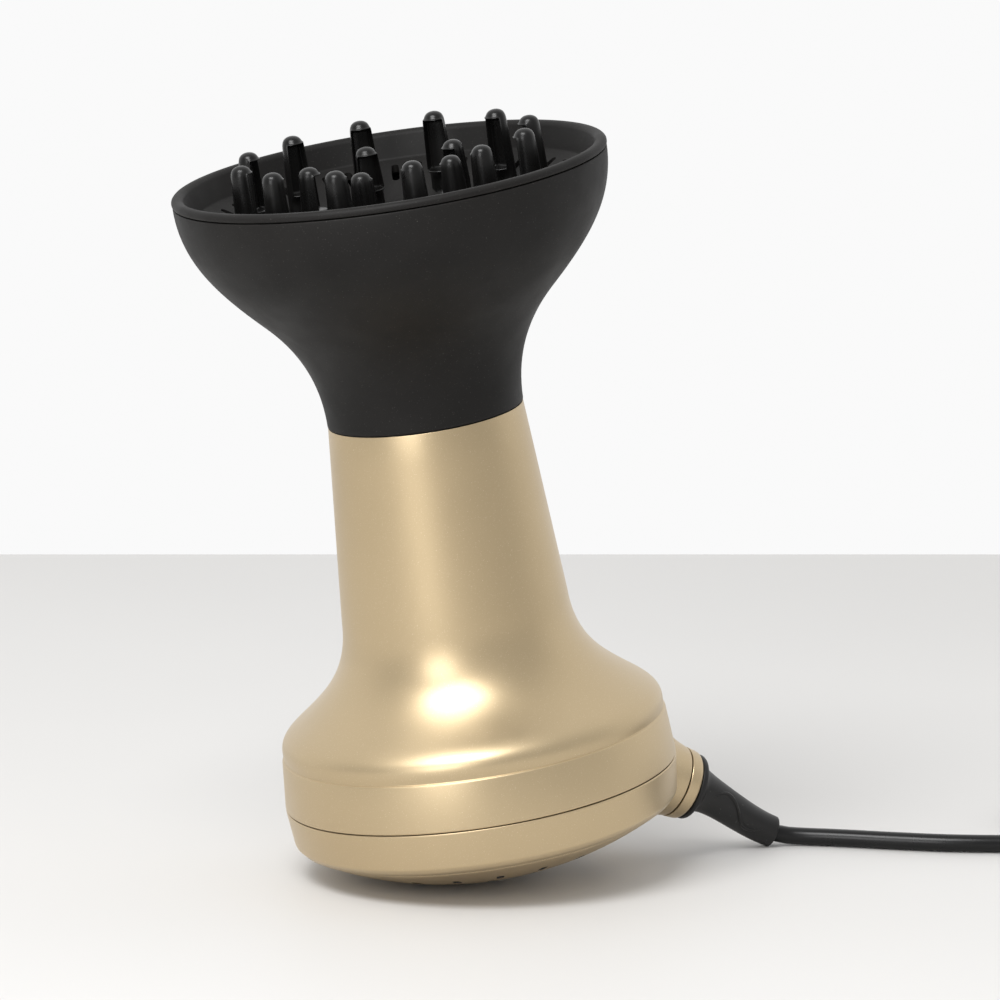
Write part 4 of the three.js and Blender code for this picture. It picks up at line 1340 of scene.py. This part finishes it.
    def _sleeve(self, name: str, rows: Sequence[tuple[Vector, Vector, float]], sides: int
                ) -> Obj:
        """Extrudes a ring along a bent axis.

        Args:
            name: name of the new object.
            rows: centre, direction and radius in millimetres of each ring.
            sides: facets round the sleeve.

        Returns:
            The sleeve, in place.
        """
        clear_selection()
        bpy.ops.mesh.primitive_circle_add(vertices=sides, radius=rows[0][2] * MM, location=(0, 0, 0))
        obj = bpy.context.object
        obj.name = name
        with editing(obj):
            for _ in rows[1:]:
                bpy.ops.mesh.extrude_edges_move(TRANSFORM_OT_translate={"value": (0, 0, 0.001)})
        for row, (centre, along, radius) in enumerate(rows):
            side = (Vector((0, 1, 0)) - along * along.y).normalized()
            up = along.cross(side)
            for k in range(sides):
                angle = 2 * math.pi * k / sides
                obj.data.vertices[row * sides + k].co = (
                    centre + (side * math.cos(angle) + up * math.sin(angle)) * radius * MM
                )
        pick(obj)
        bpy.ops.object.mode_set(mode="EDIT")
        for first in (0, (len(rows) - 1) * sides):
            bpy.ops.mesh.select_all(action="DESELECT")
            bpy.ops.object.mode_set(mode="OBJECT")
            for vertex in obj.data.vertices:
                vertex.select = first <= vertex.index < first + sides
            bpy.ops.object.mode_set(mode="EDIT")
            bpy.ops.mesh.edge_face_add()
        bpy.ops.object.mode_set(mode="OBJECT")
        with editing(obj):
            bpy.ops.mesh.normals_make_consistent(inside=False)
        return obj

    def _ridge(self) -> Obj:
        """Builds the faint S-shaped rib on each side of the boot.

        Returns:
            The finished piece.
        """
        ribs = []
        for flank in (-1.0, 1.0):
            rows = []
            for k in range(21):
                s = k / 20
                t = 0.16 + 0.66 * s
                centre, along = self.boot_path(t)
                side = (Vector((0, 1, 0)) - along * along.y).normalized()
                up = along.cross(side)
                angle = math.radians(34.0) * math.sin(2 * math.pi * (s - 0.5))
                outward = (side * flank * math.cos(angle) - up * math.sin(angle)).normalized()
                place = centre + outward * (self.boot_radius(t) - 0.25) * MM
                rows.append((place, along, 0.2 + 0.75 * math.sin(math.pi * s) ** 0.5))
            ribs.append(self._sleeve("rib", rows, 8))
        return merge("ribs", ribs)

    def plug(self) -> tuple[Obj, Obj, Obj]:
        """Builds the plug body with grip ribs, and its two pins.

        Returns:
            The pieces of the plug.
        """
        clear_selection()
        half = [(-5.0, 0.3), (5.0, 0.3), (6.0, 4.5), (8.6, 9.0), (11.6, 13.2), (13.2, 17.5), (13.5, 21.5),
                (13.5, 30.3), (-13.5, 30.3), (-13.5, 21.5), (-13.2, 17.5), (-11.6, 13.2), (-8.6, 9.0),
                (-6.0, 4.5)]
        bpy.ops.mesh.primitive_circle_add(vertices=len(half), radius=0.01, fill_type="NGON")
        body = bpy.context.object
        for vertex, (x, y) in zip(body.data.vertices, half):
            vertex.co = (x * MM, y * MM, -6.5 * MM)
        with editing(body):
            bpy.ops.mesh.extrude_region_move(TRANSFORM_OT_translate={"value": (0, 0, 13 * MM)})
        apply_modifier(
            body, "round", "BEVEL", width=1.6 * MM, segments=4, limit_method="ANGLE",
            angle_limit=math.radians(40),
        )
        for y in (12.5, 15.5, 18.5):
            for z in (-6.9, 6.9):
                carve(body, block("groove", (15.0, 1.2, 2.0), (0, y, z), 0.4, 2))
        base = Matrix.Translation((342 * MM, 13.4 * MM, 6.5 * MM)) @ Matrix.Rotation(
            math.radians(-10), 4, "Z")
        pins = []
        for name, x in (("pin_left", -9.5), ("pin_right", 9.5)):
            pin = turn(name, softened([(0, 0), (2, 0), (2, 17.4), (1.3, 19), (0, 19)], 0.4, closed=False),
                       closed=False, sides=24)
            pin.data.transform(base @ Matrix.Translation((x * MM, 30.6 * MM, 0)) @ Matrix.Rotation(
                -math.pi / 2, 4, "X"))
            pins.append(self.deliver(pin, TURNED_BRASS, Body.HOUSING, [f"plug_{name}"], lean=False))
        tidy_mesh(body)
        body.data.transform(base)
        body.name = "plug_shell"
        self.deliver(body, CORD_SHEATH, Body.HOUSING, ["plug_body"], lean=False)
        return body, *pins

    def build(self) -> None:
        cord = self.cord()
        boot = self.boot()
        plug = self.plug()


# ------------------------------------------------------------------------------ inner parts
class InnerWorks:
    """The parts inside the housings, which keep their CAD shape."""

    def dress(self) -> None:
        """Gives each shown CAD node the finish of its slot."""
        slots = {part["node"]: part["material_slot"] for part in frame["record"]["subparts"]}
        for name, node in frame["nodes"].items():
            if node.hide_render:
                continue
            node.data.materials.clear()
            node.data.materials.append(FINISHES[slots[name]].material())
            LOG.info("%s keeps its CAD shape, finish %s", name, slots[name])


# ------------------------------------------------------------------------------ studio
@dataclass(frozen=True)
class Lamp:
    """A soft box that points at the dryer.

    Azimuth and elevation, in degrees, say where it stands, seen from the dryer as for the camera.
    Distance and size are in metres, power in watts.
    """

    name: str
    azimuth: float
    elevation: float
    distance: float
    size: Point
    power: float


LAMPS = (
    Lamp("key_box", -48.0, 54.0, 1.9, (1.1, 0.9), 29.0),
    Lamp("side_strip", -45.0, 15.0, 1.9, (0.85, 0.9), 9.0),
)


@dataclass
class Studio:
    """Camera, pale table and soft light."""

    camera_at: Triple = (-0.9343, -2.3653, 0.5469)
    down: float = 9.07
    azimuth: float = -22.0
    lens: float = 252.4
    edge_behind: float = 0.72
    backdrop: float = 0.955
    room: float = 0.58
    table: Triple = (0.66, 0.652, 0.64)
    aim: Vector = field(default_factory=lambda: Vector((0, 0, 0.12)))

    def camera(self) -> None:
        """Sets the camera."""
        data = bpy.data.cameras.new("studio_camera")
        data.lens = self.lens
        data.sensor_width = 36.0
        data.clip_end = 50.0
        obj = bpy.data.objects.new("studio_camera", data)
        obj.location = self.camera_at
        obj.rotation_euler = (math.radians(90 - self.down), 0, math.radians(self.azimuth))
        bpy.context.scene.collection.objects.link(obj)
        bpy.context.scene.camera = obj

    def floor(self) -> None:
        """Lays the table, which ends a little way behind the dryer."""
        clear_selection()
        depth, width = 5.0, 8.0
        bpy.ops.mesh.primitive_plane_add(size=1.0, location=(0, 0, 0))
        obj = bpy.context.object
        obj.name = "table"
        obj.scale = (width, depth, 1.0)
        turned = Matrix.Rotation(math.radians(self.azimuth), 4, "Z")
        bake_transform()
        obj.data.transform(turned @ Matrix.Translation((0, self.edge_behind - depth / 2, 0)))
        made = bpy.data.materials.new("table_top")
        made.use_nodes = True
        tree = NodeBench(made.node_tree)
        share = tree.spread(tree.noise(3.0, 3.0), 0.3, 0.7, 0.0, 1.0)
        lighter = tuple(c * 1.02 for c in self.table)
        tree.link(tree.blend(share, self.table, lighter), tree.shader.inputs["Base Color"])
        tree.shader.inputs["Roughness"].default_value = 0.55
        tree.shader.inputs["Specular IOR Level"].default_value = 0.25
        obj.data.materials.append(made)

    def light(self, lamp: Lamp) -> None:
        """Adds a lamp.

        Args:
            lamp: where it stands, its size and its power.
        """
        data = bpy.data.lights.new(lamp.name, "AREA")
        data.shape = "RECTANGLE"
        data.size, data.size_y = lamp.size
        data.energy = lamp.power
        a, e = math.radians(lamp.azimuth), math.radians(lamp.elevation)
        back = Vector((math.sin(a) * math.cos(e), -math.cos(a) * math.cos(e), math.sin(e)))
        obj = bpy.data.objects.new(lamp.name, data)
        obj.location = self.aim + back * lamp.distance
        obj.rotation_euler = (-back).to_track_quat("-Z", "Y").to_euler()
        bpy.context.scene.collection.objects.link(obj)

    def build(self) -> None:
        """Sets up the whole studio."""
        self.camera()
        self.floor()
        self.surroundings()
        bpy.context.scene.view_settings.view_transform = "Standard"
        for lamp in LAMPS:
            self.light(lamp)

    def surroundings(self) -> None:
        """Makes the room: white behind the dryer, dim in front of it, where the lamp stands."""
        world = bpy.data.worlds.new("studio")
        world.use_nodes = True
        tree = world.node_tree
        place = tree.nodes.new("ShaderNodeTexCoord")
        along = tree.nodes.new("ShaderNodeVectorMath")
        along.operation = "DOT_PRODUCT"
        a = math.radians(self.azimuth)
        along.inputs[1].default_value = (math.sin(a), -math.cos(a), 0.0)
        tree.links.new(place.outputs["Generated"], along.inputs[0])
        level = tree.nodes.new("ShaderNodeMapRange")
        level.interpolation_type = "SMOOTHSTEP"
        for name, number in (("From Min", -0.35), ("From Max", 0.35), ("To Min", self.backdrop),
                             ("To Max", self.room)):
            level.inputs[name].default_value = number
        tree.links.new(along.outputs["Value"], level.inputs["Value"])
        backdrop = tree.nodes["Background"]
        backdrop.inputs["Color"].default_value = (1.0, 1.0, 1.0, 1.0)
        tree.links.new(level.outputs["Result"], backdrop.inputs["Strength"])
        bpy.context.scene.world = world


def main() -> None:
    """Builds the dryer and its studio."""
    logging.basicConfig(level=logging.INFO, format="%(message)s")
    place = Placement()
    Studio().build()
    MainsLead(place).build()
    Diffuser(place).build()
    Housing(place).build()
    PowerSwitch(place).build()
    InnerWorks().dress()
    clear_selection()


if __name__ == "__main__":
    main()
